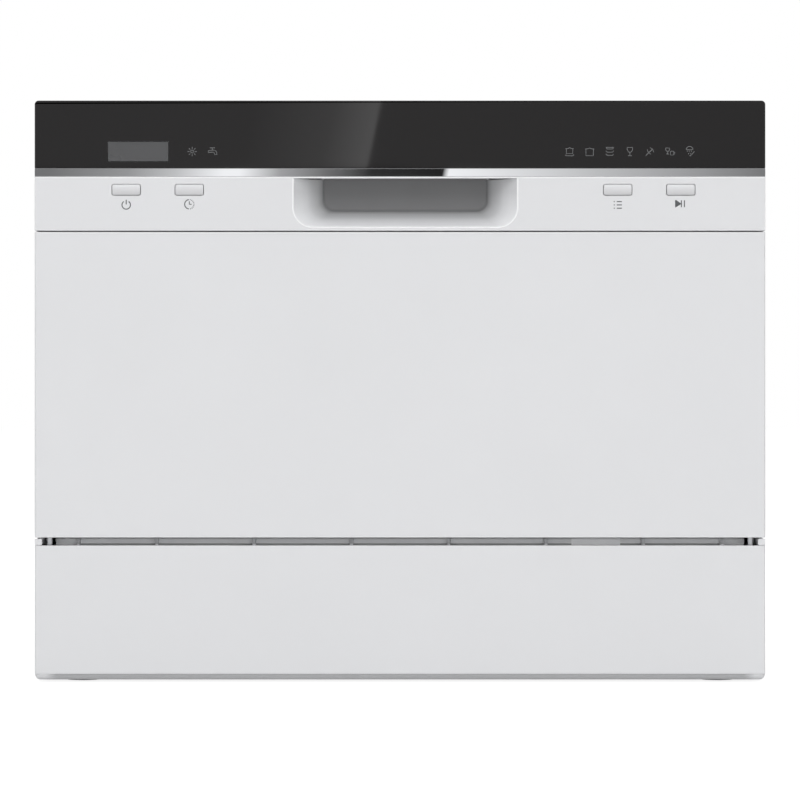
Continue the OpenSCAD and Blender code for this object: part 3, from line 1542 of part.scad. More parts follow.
// Side wires that carry the clips of the cup shelf
function clip_ys() = [rack_cy - 2 * wire_pitch, rack_cy + wire_pitch];

// Clips round two of the rack's side uprights, each with a pin for the shelf
module shelf_clips() {
  wire_x = -(rack_hx - wire_step);
  hw = 6;
  low = shelf_z - 12;
  high = shelf_z + 3.5;
  color(GREY)
    for (y = clip_ys()) {
      difference() {
        box([wire_x - 2.5, y - hw, low], [shelf_x + 3.5, y + hw, high]);
        cyl_z(low - CUT, high + CUT, wire_d + 2 * weld_gap, [wire_x, y]);
        box([wire_x - 5, y - hw - CUT, low - CUT], [wire_x, y + hw + CUT, high + CUT]);
      }
      cyl_y(y, y + hw + 8.5, shelf_pin_d, [shelf_x, shelf_z]);
    }
}

base_tray();
plinth_panel();
rubber_feet();
side_panel(-1);  // side_panel_left
side_panel(1);  // side_panel_right
top_panel();
rear_panel();
tub_wrapper();
tub_back();
tub_floor();
door_gasket();
sump();
filter_plate();
filter_cylinder();
spray_arm();
wash_pump();
drain_pump();
drain_hose();
drain_outlet();
flow_heater();
inlet_valve();
fill_chamber();
fill_hose();
leak_switch();
cord_gland();
door_strike();
hinge_bracket(-1);  // hinge_bracket_left
hinge_bracket(1);  // hinge_bracket_right
door_spring(-1);  // door_spring_left
door_spring(1);  // door_spring_right
case_screws();
door_skin();
control_panel();
fascia_window();
trim_strip();
display_window();
button_power();
button_delay();
button_program();
button_start();
control_board();
door_lock();
door_liner();
lower_seal();
hinge_arm(-1);  // hinge_arm_left
hinge_arm(1);  // hinge_arm_right
door_screws();
dispenser_body();
dispenser_lid();
rinse_cap();
rack_rim();
rack_long_wires();
rack_cross_wires();
rack_tines();
wheel_carriers();
front_wheels();
rear_wheels();
cutlery_basket();
cup_shelf();
shelf_clips();
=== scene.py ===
"""Countertop dishwasher: finishes and detail pieces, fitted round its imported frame."""
import json
import math
from contextlib import contextmanager

import bpy
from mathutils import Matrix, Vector


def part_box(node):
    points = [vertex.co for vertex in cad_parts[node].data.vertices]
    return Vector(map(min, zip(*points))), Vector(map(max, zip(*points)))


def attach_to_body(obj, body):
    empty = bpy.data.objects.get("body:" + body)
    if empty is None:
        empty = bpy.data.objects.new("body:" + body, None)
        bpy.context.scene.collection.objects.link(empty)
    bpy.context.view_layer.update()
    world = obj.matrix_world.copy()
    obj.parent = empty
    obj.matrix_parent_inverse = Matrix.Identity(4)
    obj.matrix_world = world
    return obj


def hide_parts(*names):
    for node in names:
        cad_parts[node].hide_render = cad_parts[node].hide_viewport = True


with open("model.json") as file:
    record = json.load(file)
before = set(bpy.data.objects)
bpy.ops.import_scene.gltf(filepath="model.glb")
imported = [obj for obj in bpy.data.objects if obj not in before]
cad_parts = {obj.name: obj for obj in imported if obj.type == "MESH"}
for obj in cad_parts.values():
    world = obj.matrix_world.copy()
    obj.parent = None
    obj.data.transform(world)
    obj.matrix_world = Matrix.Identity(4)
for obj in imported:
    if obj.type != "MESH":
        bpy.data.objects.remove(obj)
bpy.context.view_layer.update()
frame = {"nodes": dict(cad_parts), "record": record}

bl_info = {
    "name": "Countertop dishwasher",
    "version": (1, 0, 0),
    "blender": (4, 5, 0),
    "location": "View3D > Sidebar > Dishwasher",
    "description": "Dresses the packed countertop dishwasher and lights it",
    "category": "Object",
}

MM = 0.001
NODES = frame["nodes"]
BODY_OF = {n: b for b, group in frame["record"]["behaviour"]["bodies"].items() for n in group}
SLOT_OF = {part["node"]: part["material_slot"] for part in frame["record"]["subparts"]}

# Filled by the first operator
FINISH = {}

# Camera, in metres, with the sensor in mm; its field is as wide as the photo
PHOTO_SIDE = 800
PIXELS_PER_MM = 1.329
BODY_FRONT = -0.25
CAMERA_DISTANCE = 3.5
CAMERA_HEIGHT = 0.2126
CAMERA_PLACE = (0, BODY_FRONT - CAMERA_DISTANCE, CAMERA_HEIGHT)
SENSOR = 36.0
FIELD_WIDTH = PHOTO_SIDE / PIXELS_PER_MM * MM

# The mirror card stands at the camera, so it is twice the size of the front that mirrors it
MIRROR = 2.0

# Light, as levels that the camera sees
WHITE = (1.0, 1.0, 1.0)
WORLD_LIGHT = 0.42
FLOOR_GLOW = 0.88
FLOOR_SHADE = 0.3

# Shading, with angles in degrees
BEVEL_ANGLE = 30
SMOOTH_ANGLE = 32
FLAT_WEIGHT = 60

# The front, in mm
PANEL_FACE = -249.4
PANEL_TOP = 380.05
WINDOW_LOW = 387.0
GRIP_MIDDLE = 4.0
GRIP_HALF = 84.5
GRIP_LOW = 342.6
GRIP_TOP = 379.4
GRIP_CORNER = 15.0
GRIP_BACK = -222.4
# Height over which the painted light on the grip's lower slope fades, in mm
GRIP_PAINTED_LIGHT_RISE = 27.0
BUTTONS = ("power", "delay", "program", "start")
BUTTON_LOW = 365.3
BUTTON_HIGH = 376.3
BUTTON_CROWN = 0.42
STRIP_WIDENED = 1.26
TRAY_EDGE = 6.6
TRAY_CORNER = (259.0, 267.0)
GAP_LOW = 103.1
GAP_HIGH = 109.1
GAP_WALL = -222.0
# Span in x of the painted light patch on the wall under the door
GAP_PAINTED_LIGHT = (130.0, 167.0)
SYMBOL_ROW = 359.4
ICON_ROW = 399.6
ICON_FIRST = 127.6
ICON_PITCH = 15.14

# Inside and at the rear, in mm
BLADE_TOP = 163.07
HOSE_RUN = 124.07
NICHE_WALL = 222.05
SPIGOT_ROW = 62.0


def low_of(node):
    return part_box(node)[0] / MM


def high_of(node):
    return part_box(node)[1] / MM


def middle_of(node):
    return (low_of(node) + high_of(node)) / 2


class DishwasherSizes(bpy.types.PropertyGroup):
    """Sizes of the finishing work"""

    sheet_round: bpy.props.FloatProperty(
        name="Sheet edge", description="Rounding of folded sheet edges", default=0.22 * MM, unit="LENGTH"
    )
    moulded_round: bpy.props.FloatProperty(
        name="Moulded edge", description="Rounding of moulded edges", default=0.5 * MM, unit="LENGTH"
    )
    soft_round: bpy.props.FloatProperty(
        name="Soft edge", description="Rounding of the pump housings", default=0.8 * MM, unit="LENGTH"
    )
    symbol_line: bpy.props.FloatProperty(
        name="Symbol line", description="Width of the lines in the panel's symbols", default=0.8 * MM,
        unit="LENGTH",
    )
    icon_line: bpy.props.FloatProperty(
        name="Icon line", description="Width of the lines in the window's icons", default=0.5 * MM,
        unit="LENGTH",
    )
    grip_fillet: bpy.props.FloatProperty(
        name="Grip fillet", description="Rounding at the back of the grip pocket", default=4.5 * MM,
        unit="LENGTH",
    )


class DishwasherColours(bpy.types.PropertyGroup):
    """Colours of the finishes, in linear light"""

    paint: bpy.props.FloatVectorProperty(
        name="Paint", description="White powder coat", subtype="COLOR", size=3,
        default=(0.735, 0.74, 0.755),
    )
    moulded: bpy.props.FloatVectorProperty(
        name="Moulded white", description="White plastic", subtype="COLOR", size=3,
        default=(0.735, 0.74, 0.755),
    )
    window: bpy.props.FloatVectorProperty(
        name="Black window", description="Black behind the glass", subtype="COLOR", size=3,
        default=(0.007, 0.006, 0.0063),
    )
    steel: bpy.props.FloatVectorProperty(
        name="Steel", description="Brushed steel of the tub", subtype="COLOR", size=3,
        default=(0.60, 0.60, 0.61),
    )
    grey: bpy.props.FloatVectorProperty(
        name="Grey plastic", description="Rack fittings and water parts", subtype="COLOR", size=3,
        default=(0.27, 0.28, 0.30),
    )
    print_grey: bpy.props.FloatVectorProperty(
        name="Grey print", description="Symbols on the panel", subtype="COLOR", size=3,
        default=(0.085, 0.09, 0.095),
    )


def lookup():
    """The scene's own sizes and colours."""
    scene = bpy.context.scene
    return scene.dishwasher_sizes, scene.dishwasher_colours


def metres(*values):
    return tuple(value * MM for value in values)


# Selection and edit mode


def select_only(piece):
    """Leaves one object selected and active."""
    bpy.ops.object.select_all(action="DESELECT")
    piece.select_set(True)
    bpy.context.view_layer.objects.active = piece


def settle(piece):
    """Moves the piece's place into its mesh."""
    select_only(piece)
    bpy.ops.object.transform_apply(location=True, rotation=True, scale=True)


@contextmanager
def edit_mode(piece, kind, chosen):
    """Edit mode with the chosen faces or edges selected."""
    if not any(chosen):
        raise RuntimeError("none of the %s of %s passes the test" % (kind, piece.name))
    select_only(piece)
    bpy.context.tool_settings.mesh_select_mode = (False, kind == "edges", kind == "faces")
    mesh = piece.data
    for items in (mesh.vertices, mesh.edges, mesh.polygons):
        items.foreach_set("select", [False] * len(items))
    (mesh.polygons if kind == "faces" else mesh.edges).foreach_set("select", chosen)
    if kind == "edges":
        for edge in mesh.edges:
            if edge.select:
                for number in edge.vertices:
                    mesh.vertices[number].select = True
    bpy.ops.object.mode_set(mode="EDIT")
    yield
    bpy.ops.object.mode_set(mode="OBJECT")


def edit_faces(piece, test):
    """Edit mode with the faces selected whose centre in mm and normal pass the test."""
    chosen = [test(face.center / MM, face.normal) for face in piece.data.polygons]
    return edit_mode(piece, "faces", chosen)


def edit_edges(piece, test):
    """Edit mode with the edges selected whose two ends, in mm, both pass the test."""
    ends = [test(vertex.co / MM) for vertex in piece.data.vertices]
    chosen = [all(ends[number] for number in edge.vertices) for edge in piece.data.edges]
    return edit_mode(piece, "edges", chosen)


@contextmanager
def edit_all(piece):
    """Edit mode with everything selected."""
    select_only(piece)
    bpy.ops.object.mode_set(mode="EDIT")
    bpy.ops.mesh.select_all(action="SELECT")
    yield
    bpy.ops.object.mode_set(mode="OBJECT")


def facing(*direction):
    """Test for faces that look one way."""
    way = Vector(direction)
    return lambda centre, normal: normal.dot(way) > 0.99


def both_ways(*direction):
    """Test for faces that look one way or the opposite way."""
    way = Vector(direction)
    return lambda centre, normal: abs(normal.dot(way)) > 0.99


def extrude(x, y, z):
    bpy.ops.mesh.extrude_region_move(TRANSFORM_OT_translate={"value": metres(x, y, z)})


# Modelling


def apply_all(piece):
    """Applies the piece's modifiers in order."""
    select_only(piece)
    for name in [m.name for m in piece.modifiers]:
        bpy.ops.object.modifier_apply(modifier=name)


def round_edges(piece, width, segments=2, clamp=False, mirror=None):
    """Bevels the sharp edges, smooths the rest and keeps the flat faces flat.

    Faces that pass the mirror test keep their own normals up to their border.
    """
    if width > 0:
        bevel = piece.modifiers.new("edge rounding", "BEVEL")
        bevel.width = width
        bevel.segments = segments
        bevel.limit_method = "ANGLE"
        bevel.angle_limit = math.radians(BEVEL_ANGLE)
        bevel.use_clamp_overlap = clamp
        apply_all(piece)
    select_only(piece)
    bpy.ops.object.shade_smooth_by_angle(angle=math.radians(SMOOTH_ANGLE))
    if mirror:
        with edit_faces(piece, mirror):
            bpy.ops.mesh.region_to_loop()
            bpy.ops.mesh.mark_sharp()
    weighted = piece.modifiers.new("flat faces", "WEIGHTED_NORMAL")
    weighted.keep_sharp = True
    weighted.weight = FLAT_WEIGHT
    apply_all(piece)


def set_finish(piece, material):
    piece.data.materials.clear()
    piece.data.materials.append(material)


def second_finish(piece, material, test):
    """Gives the faces that pass the test another material."""
    piece.data.materials.append(material)
    with edit_faces(piece, test):
        piece.active_material_index = len(piece.data.materials) - 1
        bpy.ops.object.material_slot_assign()


def join(pieces, name):
    """One piece from several."""
    bpy.ops.object.select_all(action="DESELECT")
    for piece in pieces:
        piece.select_set(True)
    bpy.context.view_layer.objects.active = pieces[0]
    if len(pieces) > 1:
        bpy.ops.object.join()
    joined = bpy.context.view_layer.objects.active
    joined.name = name
    return joined


def box_start(name, low, high):
    """A box between two corners in mm, to shape further."""
    low, high = Vector(low), Vector(high)
    bpy.ops.mesh.primitive_cube_add(size=1, location=(low + high) / 2 * MM)
    piece = bpy.context.object
    piece.name = name
    piece.scale = (high - low) * MM
    settle(piece)
    return piece


def round_start(name, centre, radius, length, sides, axis="z", top_radius=None):
    """A round bar or cone about a centre in mm, to shape further."""
    turns = {"x": (0, math.pi / 2, 0), "y": (-math.pi / 2, 0, 0), "z": (0, 0, 0)}
    bpy.ops.mesh.primitive_cone_add(
        vertices=sides,
        radius1=radius * MM,
        radius2=(radius if top_radius is None else top_radius) * MM,
        depth=length * MM,
        location=metres(*centre),
        rotation=turns[axis],
    )
    piece = bpy.context.object
    piece.name = name
    settle(piece)
    return piece


def copy_to(piece, place, turn):
    """A copy with its own mesh, moved to a place in mm."""
    twin = piece.copy()
    twin.data = piece.data.copy()
    bpy.context.scene.collection.objects.link(twin)
    twin.rotation_euler = turn
    twin.location = metres(*place)
    settle(twin)
    return twin


def copies(pattern, places, name, turn=(0, 0, 0)):
    """One piece made of copies of a pattern, which is then taken away."""
    twins = [copy_to(pattern, place, turn) for place in places]
    bpy.data.objects.remove(pattern)
    return join(twins, name)


def cut(piece, cutter):
    """Cuts one piece out of another."""
    select_only(piece)
    difference = piece.modifiers.new("cut", "BOOLEAN")
    difference.operation = "DIFFERENCE"
    difference.object = cutter
    difference.solver = "EXACT"
    apply_all(piece)
    bpy.data.objects.remove(cutter)


def bent_bar(name, points, radius, sides=2):
    """A round bar along points in mm, made a mesh."""
    curve = bpy.data.curves.new(name, "CURVE")
    curve.dimensions = "3D"
    curve.bevel_depth = radius * MM
    curve.bevel_resolution = sides
    curve.use_fill_caps = True
    spline = curve.splines.new("POLY")
    spline.points.add(len(points) - 1)
    for place, point in zip(spline.points, points):
        place.co = (*metres(*point), 1)
    piece = bpy.data.objects.new(name, curve)
    bpy.context.scene.collection.objects.link(piece)
    select_only(piece)
    bpy.ops.object.convert(target="MESH")
    piece = bpy.context.object
    with edit_all(piece):
        bpy.ops.mesh.normals_make_consistent(inside=False)
    return piece


def eased(points, radius):
    """A path whose inner corners are rounded."""
    steps = 8
    path = [Vector(points[0])]
    for before, corner, after in zip(points, points[1:], points[2:]):
        corner = Vector(corner)
        start = corner + (Vector(before) - corner).normalized() * radius
        end = corner + (Vector(after) - corner).normalized() * radius
        for step in range(steps + 1):
            t = step / steps
            path.append(start * (1 - t) ** 2 + corner * 2 * t * (1 - t) + end * t ** 2)
    path.append(Vector(points[-1]))
    return path


def helix(centre, radius, low, high, turns, axis, per_turn):
    """Points of a coil about the y or z axis, between two places along it."""
    points = []
    for step in range(int(turns * per_turn) + 1):
        angle = 2 * math.pi * step / per_turn
        along = low + (high - low) * step / (turns * per_turn)
        a, b = radius * math.cos(angle), radius * math.sin(angle)
        if axis == "z":
            points.append((centre[0] + a, centre[1] + b, along))
        else:
            points.append((centre[0] + a, along, centre[1] + b))
    return points


def attach(piece, body, slot, *replaced):
    """Body, slot and the CAD nodes that the piece stands for; the slot is not used."""
    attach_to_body(piece, body)
    if replaced:
        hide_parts(*replaced)


def stand_for(node, piece):
    """Gives a piece the finish and body of the node that it replaces."""
    set_finish(piece, FINISH[SLOT_OF[node]])
    attach(piece, BODY_OF[node], SLOT_OF[node], node)


def merged_copy(node, name):
    """A copy of a CAD node with its triangles merged and its flat faces cleared."""
    source = NODES[node]
    piece = bpy.data.objects.new(name, source.data.copy())
    bpy.context.scene.collection.objects.link(piece)
    select_only(piece)
    bpy.ops.mesh.customdata_custom_splitnormals_clear()
    with edit_all(piece):
        bpy.ops.mesh.remove_doubles(threshold=0.005 * MM)
        bpy.ops.mesh.dissolve_limited(angle_limit=math.radians(0.8))
    return piece


def dress(node, width, segments=2, shape=None, extras=(), finishes=(), **rounding):
    """Stands for a CAD node with the same shape, its edges rounded and details joined on."""
    piece = merged_copy(node, node + "_finished")
    set_finish(piece, FINISH[SLOT_OF[node]])
    if shape:
        shape(piece)
    round_edges(piece, width, segments, **rounding)
    if extras:
        for extra in extras:
            set_finish(extra, FINISH[SLOT_OF[node]])
        piece = join([piece, *extras], node + "_finished")
    for material, test in finishes:
        second_finish(piece, material, test)
    attach(piece, BODY_OF[node], SLOT_OF[node], node)


def dress_all(widths):
    """Dresses nodes given as {rounding: (names)}."""
    for width, names in widths.items():
        for node in names:
            dress(node, width)


def paint_node(node, material):
    """A CAD node that stays as it is, with its real finish."""
    source = NODES[node]
    if not source.material_slots:
        source.data.materials.append(material)
    for place in source.material_slots:
        place.material = material


# Finishes


def shade(colour, amount):
    return tuple(channel * amount for channel in colour)


def opaque(colour, amount=1.0):
    """The colour, shaded, as a node's four channels."""
    return (*shade(colour, amount), 1.0)


def base_material(name, colour, roughness, metallic=0.0):
    material = bpy.data.materials.new(name)
    material.use_nodes = True
    shader = material.node_tree.nodes["Principled BSDF"]
    shader.inputs["Base Color"].default_value = opaque(colour)
    shader.inputs["Roughness"].default_value = roughness
    shader.inputs["Metallic"].default_value = metallic
    return material


def add_node(tree, kind, output, inputs, **settings):
    """Adds a node, links its inputs to sockets or sets them to values, and returns one output."""
    node = tree.nodes.new(kind)
    for key, value in settings.items():
        setattr(node, key, value)
    for key, value in inputs.items():
        if isinstance(value, bpy.types.NodeSocket):
            tree.links.new(value, node.inputs[key])
        else:
            node.inputs[key].default_value = value
    return node.outputs[output]


def object_noise(tree, scale, detail=2.0, stretch=(1.0, 1.0, 1.0)):
    """Noise on the object's own coordinates; stretch squeezes it along an axis."""
    place = add_node(tree, "ShaderNodeTexCoord", "Object", {})
    place = add_node(tree, "ShaderNodeMapping", "Vector", {"Vector": place, "Scale": stretch})
    inputs = {"Vector": place, "Scale": scale, "Detail": detail}
    return add_node(tree, "ShaderNodeTexNoise", "Fac", inputs)


def object_axes(tree):
    """The object's own x, y and z."""
    split = tree.nodes.new("ShaderNodeSeparateXYZ")
    tree.links.new(add_node(tree, "ShaderNodeTexCoord", "Object", {}), split.inputs["Vector"])
    return [split.outputs[axis] for axis in "XYZ"]


def span(tree, value, low, high, first, last):
    """Maps low..high of a value to first..last."""
    limits = {"From Min": low, "From Max": high, "To Min": first, "To Max": last}
    return add_node(tree, "ShaderNodeMapRange", "Result", {"Value": value, **limits})


def calculate(tree, operation, *values):
    return add_node(tree, "ShaderNodeMath", "Value", dict(enumerate(values)), operation=operation)


def pick(tree, factor, first, second):
    """Colour that changes from the first to the second."""
    colours = {"Factor": factor, 6: first, 7: second}
    return add_node(tree, "ShaderNodeMix", 2, colours, data_type="RGBA")


def colour_ramp(tree, factor, stops):
    """Colour ramp through (position, colour) stops."""
    ramp = tree.nodes.new("ShaderNodeValToRGB")
    elements = ramp.color_ramp.elements
    while len(elements) > 1:
        elements.remove(elements[-1])
    for number, (position, colour) in enumerate(stops):
        element = elements.new(position) if number else elements[0]
        element.position = position
        element.color = opaque(colour)
    tree.links.new(factor, ramp.inputs["Fac"])
    return ramp.outputs["Color"]


def tone_ramp(tree, factor, colour, tones):
    """Colour ramp through (position, tone) stops of one colour."""
    return colour_ramp(tree, factor, [(position, shade(colour, tone)) for position, tone in tones])


def surface(material, socket, value):
    material.node_tree.links.new(value, material.node_tree.nodes["Principled BSDF"].inputs[socket])


def add_bump(material, height, strength, distance):
    inputs = {"Height": height, "Strength": strength, "Distance": distance}
    surface(material, "Normal", add_node(material.node_tree, "ShaderNodeBump", "Normal", inputs))


def vary_roughness(material, factor, low, high):
    surface(material, "Roughness", span(material.node_tree, factor, 0.3, 0.7, low, high))


def vary_colour(material, factor, dark, light):
    surface(material, "Base Color", colour_ramp(material.node_tree, factor, [(0.3, dark), (0.7, light)]))


def grained(name, colour, roughness, grain, strength, spread=0.05, tone=0.985):
    """Moulded or coated finish: fine grain, a slight change of tone and of gloss."""
    material = base_material(name, colour, roughness)
    tree = material.node_tree
    vary_colour(material, object_noise(tree, 9.0), shade(colour, tone), colour)
    vary_roughness(material, object_noise(tree, 40.0), roughness - spread, roughness + spread)
    add_bump(material, object_noise(tree, grain, 3.0), strength, 0.05 * MM)
    return material


def brushed(name, colour, roughness, direction):
    """Metal brushed along one axis."""
    material = base_material(name, colour, roughness, 1.0)
    tree = material.node_tree
    stretch = [60.0, 60.0, 60.0]
    stretch["xyz".index(direction)] = 1.0
    lines = object_noise(tree, 40.0, 4.0, tuple(stretch))
    vary_colour(material, object_noise(tree, 6.0), shade(colour, 0.94), colour)
    vary_roughness(material, lines, roughness - 0.06, roughness + 0.08)
    add_bump(material, lines, 0.12, 0.02 * MM)
    return material


def polished(name, colour, roughness, metallic, scale, smooth, rough):
    """Mirror finish with a slight change of gloss."""
    material = base_material(name, colour, roughness, metallic)
    vary_roughness(material, object_noise(material.node_tree, scale), smooth, rough)
    return material


def grip_white(colour):
    """White of the grip pocket, with painted shade that turns it grey towards its back and its top, and
    painted light on its lower slope.
    """
    material = grained("grip pocket", colour, 0.45, 1600.0, 0.06)
    tree = material.node_tree
    _, y, z = object_axes(tree)
    # Painted shade: greyer with depth into the pocket
    depth = span(tree, y, PANEL_FACE * MM, GRIP_BACK * MM, 0.0, 1.0)
    ramp = tone_ramp(tree, depth, shade(colour, 1.03), (
        (0.0, 1.0), (0.25, 1.0), (0.45, 0.93), (0.6, 0.78), (0.8, 0.64), (0.92, 0.46), (0.985, 0.215),
        (1.0, 0.2),
    ))
    # Painted light: lighter on the lower slope, fading upwards
    rise = span(tree, z, GRIP_LOW * MM, (GRIP_LOW + GRIP_PAINTED_LIGHT_RISE) * MM, 1.3, 0.9)
    painted_light_and_shade = add_node(tree, "ShaderNodeVectorMath", "Vector", {0: ramp, "Scale": rise}, operation="SCALE")
    surface(material, "Base Color", painted_light_and_shade)
    return material


def button_white(colour):
    """White of the buttons with painted shade towards their lower edge and painted light towards their
    upper one.
    """
    material = grained("button white", colour, 0.38, 1600.0, 0.05)
    tree = material.node_tree
    # Painted shade at the lower edge, painted light at the upper one
    rise = span(tree, object_axes(tree)[2], BUTTON_LOW * MM, BUTTON_HIGH * MM, 0.0, 1.0)
    tones = ((0.0, 0.52), (0.1, 0.72), (0.5, 0.9), (0.8, 1.07), (1.0, 1.15))
    surface(material, "Base Color", tone_ramp(tree, rise, colour, tones))
    return material


def tray_edge_painted_shade(colour):
    """The tray's lower edge, with painted shade: darkest under the plinth, lighter downwards and near
    its own white at its corners.
    """
    material = grained("tray edge", colour, 0.5, 900.0, 0.06)
    tree = material.node_tree
    x, _, z = object_axes(tree)
    across = span(tree, calculate(tree, "ABSOLUTE", x), *metres(*TRAY_CORNER), 0.0, 1.0)
    # Painted shade, darkest under the plinth
    down = span(tree, z, TRAY_EDGE * MM, 1.0 * MM, 0.0, 1.0)
    middle = tone_ramp(tree, down, colour, ((0.0, 0.5), (1.0, 0.76)))
    surface(material, "Base Color", pick(tree, across, middle, opaque(colour, 0.93)))
    return material


def gap_painted_light_and_shade(colour):
    """Wall under the door with painted light and shade: a painted shadow along its foot, lighter than
    the plastic above it, and lighter still in a painted light patch.
    """
    material = grained("gap wall", colour, 0.45, 1600.0, 0.06)
    tree = material.node_tree
    x, _, z = object_axes(tree)
    rise = span(tree, z, GAP_LOW * MM, GAP_HIGH * MM, 0.0, 1.0)
    # Painted shadow along the foot, painted light above it
    wall = tone_ramp(tree, rise, colour, ((0.0, 0.45), (0.1, 0.55), (0.2, 1.1), (1.0, 1.02)))
    # A brighter painted light patch between these x
    left, right = metres(*GAP_PAINTED_LIGHT)
    after, before = calculate(tree, "GREATER_THAN", x, left), calculate(tree, "LESS_THAN", x, right)
    inside = calculate(tree, "MULTIPLY", after, before)
    surface(material, "Base Color", pick(tree, inside, wall, opaque(colour, 1.28)))
    return material


def perforated(name, colour, pitch, hole):
    """Sheet with a grid of small holes, painted dark as painted shade and sunk by bump."""
    material = brushed(name, colour, 0.3, "x")
    tree = material.node_tree
    turn = 2 * math.pi / (pitch * MM)
    across = [calculate(tree, "MULTIPLY", axis, turn) for axis in object_axes(tree)[:2]]
    waves = [calculate(tree, "SINE", angle) for angle in across]
    dots = calculate(tree, "ABSOLUTE", calculate(tree, "MULTIPLY", *waves))
    solid = span(tree, dots, 1 - hole, 1 - hole + 0.1, 1.0, 0.0)
    # Painted shade: the holes are darkened
    surface(material, "Base Color", tone_ramp(tree, solid, colour, ((0.0, 0.04), (1.0, 1.0))))
    add_bump(material, solid, 0.6, 0.3 * MM)
    return material


def make_finishes():
    """All finishes, by name."""
    _, colours = lookup()
    paint, moulded, window = tuple(colours.paint), tuple(colours.moulded), tuple(colours.window)
    steel, grey = tuple(colours.steel), tuple(colours.grey)
    return {
        "painted_white": grained("powder coat", paint, 0.38, 900.0, 0.05),
        "moulded_white": grained("satin white plastic", moulded, 0.42, 1600.0, 0.06),
        "black_window": polished("black glass", window, 0.05, 0.0, 25.0, 0.012, 0.024),
        "chrome_trim": polished("bright trim", (0.82, 0.83, 0.85), 0.08, 1.0, 60.0, 0.004, 0.01),
        "display_glass": grained("display lens", (0.072, 0.073, 0.076), 0.3, 1200.0, 0.02, 0.03),
        "stainless": brushed("brushed steel", steel, 0.27, "x"),
        "zinc_steel": brushed("zinc plated steel", (0.52, 0.53, 0.55), 0.34, "z"),
        "rubber": grained("black rubber", (0.022, 0.022, 0.024), 0.62, 700.0, 0.2, 0.08, 0.8),
        "grey_plastic": grained("grey plastic", grey, 0.42, 900.0, 0.12, tone=0.95),
        "dark_plastic": grained("dark plastic", (0.045, 0.046, 0.05), 0.45, 900.0, 0.12, tone=0.9),
        "circuit_board": grained("solder mask", (0.012, 0.10, 0.04), 0.3, 500.0, 0.1, tone=0.85),
        "coated_wire": grained("vinyl coated wire", (0.60, 0.61, 0.63), 0.3, 500.0, 0.06, tone=0.95),
        "panel_print": grained("grey print", tuple(colours.print_grey), 0.5, 900.0, 0.02),
        "window_print": grained("pale print", (0.14, 0.143, 0.147), 0.5, 900.0, 0.02),
        # A lighter copy of the white for the grip's bead: painted highlight
        "lip_white": grained("grip lip", (0.90, 0.905, 0.915), 0.3, 900.0, 0.03),
        # Painted shade and painted light in the grip pocket
        "grip_white": grip_white(moulded),
        # Painted shade and painted light on the buttons
        "tray_edge": tray_edge_painted_shade(moulded),
        # Painted shade on the tray's lower edge
        "button_white": button_white(moulded),
        # Painted shadow and painted light on the wall under the door
        "gap_wall": gap_painted_light_and_shade(moulded),
        # A lighter copy of the white for the ribs: painted light
        "gap_rib": grained("gap rib painted light", shade(moulded, 1.28), 0.42, 1600.0, 0.06),
        "sieve": perforated("filter sieve", steel, 3.2, 0.45),
    }


class DISHWASHER_OT_finishes(bpy.types.Operator):
    """Make the procedural finishes"""

    bl_idname = "dishwasher.finishes"
    bl_label = "Finishes"

    def execute(self, context):
        FINISH.update(make_finishes())
        for node, slot in SLOT_OF.items():
            paint_node(node, FINISH[slot])
        return {"FINISHED"}


# Fasteners and small hardware


def make_screw(head_r, head_t, shank_r, shank_l):
    """Pan head screw with a cross recess, its head up and its top at z = 0."""
    screw = round_start("screw", (0, 0, -head_t / 2), head_r, head_t, 28)
    with edit_faces(screw, facing(0, 0, 1)):
        bpy.ops.mesh.inset(thickness=0.3 * head_r * MM)
    with edit_faces(screw, lambda centre, normal: normal.z > 0.99 and centre.xy.length < 0.1):
        bpy.ops.transform.translate(value=metres(0, 0, 0.01))
    with edit_edges(screw, lambda end: end.z > -0.01 and end.xy.length > 0.9 * head_r):
        bpy.ops.mesh.bevel(offset=0.5 * head_t * MM, segments=3, affect="EDGES")
    with edit_faces(screw, facing(0, 0, -1)):
        bpy.ops.mesh.inset(thickness=(head_r - shank_r) * MM)
    with edit_faces(screw, lambda centre, normal: normal.z < -0.99 and centre.xy.length < 0.1):
        extrude(0, 0, -shank_l)
        bpy.ops.mesh.inset(thickness=0.5 * shank_r * MM)
    long, short = 0.62 * head_r, 0.14 * head_r
    for x, y in ((long, short), (short, long)):
        cut(screw, box_start("recess", (-x, -y, -0.7 * head_t), (x, y, 1)))
    round_edges(screw, 0)
    return screw


def solid_places(node):
    """Middles and sizes of a node's separate solids, in mm."""
    with edit_all(merged_copy(node, "loose")):
        bpy.ops.mesh.separate(type="LOOSE")
    places = []
    for piece in list(bpy.context.selected_objects):
        corners = [Vector(corner) / MM for corner in piece.bound_box]
        low = Vector(map(min, zip(*corners)))
        high = Vector(map(max, zip(*corners)))
        places.append(((low + high) / 2, high - low))
        bpy.data.objects.remove(piece)
    return sorted(places, key=lambda place: tuple(place[0]))


def screws_for(node, shank_r):
    """Replaces a node of like screws, whose heads face the rear."""
    places = solid_places(node)
    size = places[0][1]
    head_t = 2.0 if node == "case_screws" else 1.6
    pattern = make_screw(size.x / 2, head_t, shank_r, size.y - head_t)
    tops = [(middle.x, high_of(node).y, middle.z) for middle, _ in places]
    piece = copies(pattern, tops, node + "_finished", turn=(-math.pi / 2, 0, 0))
    stand_for(node, piece)


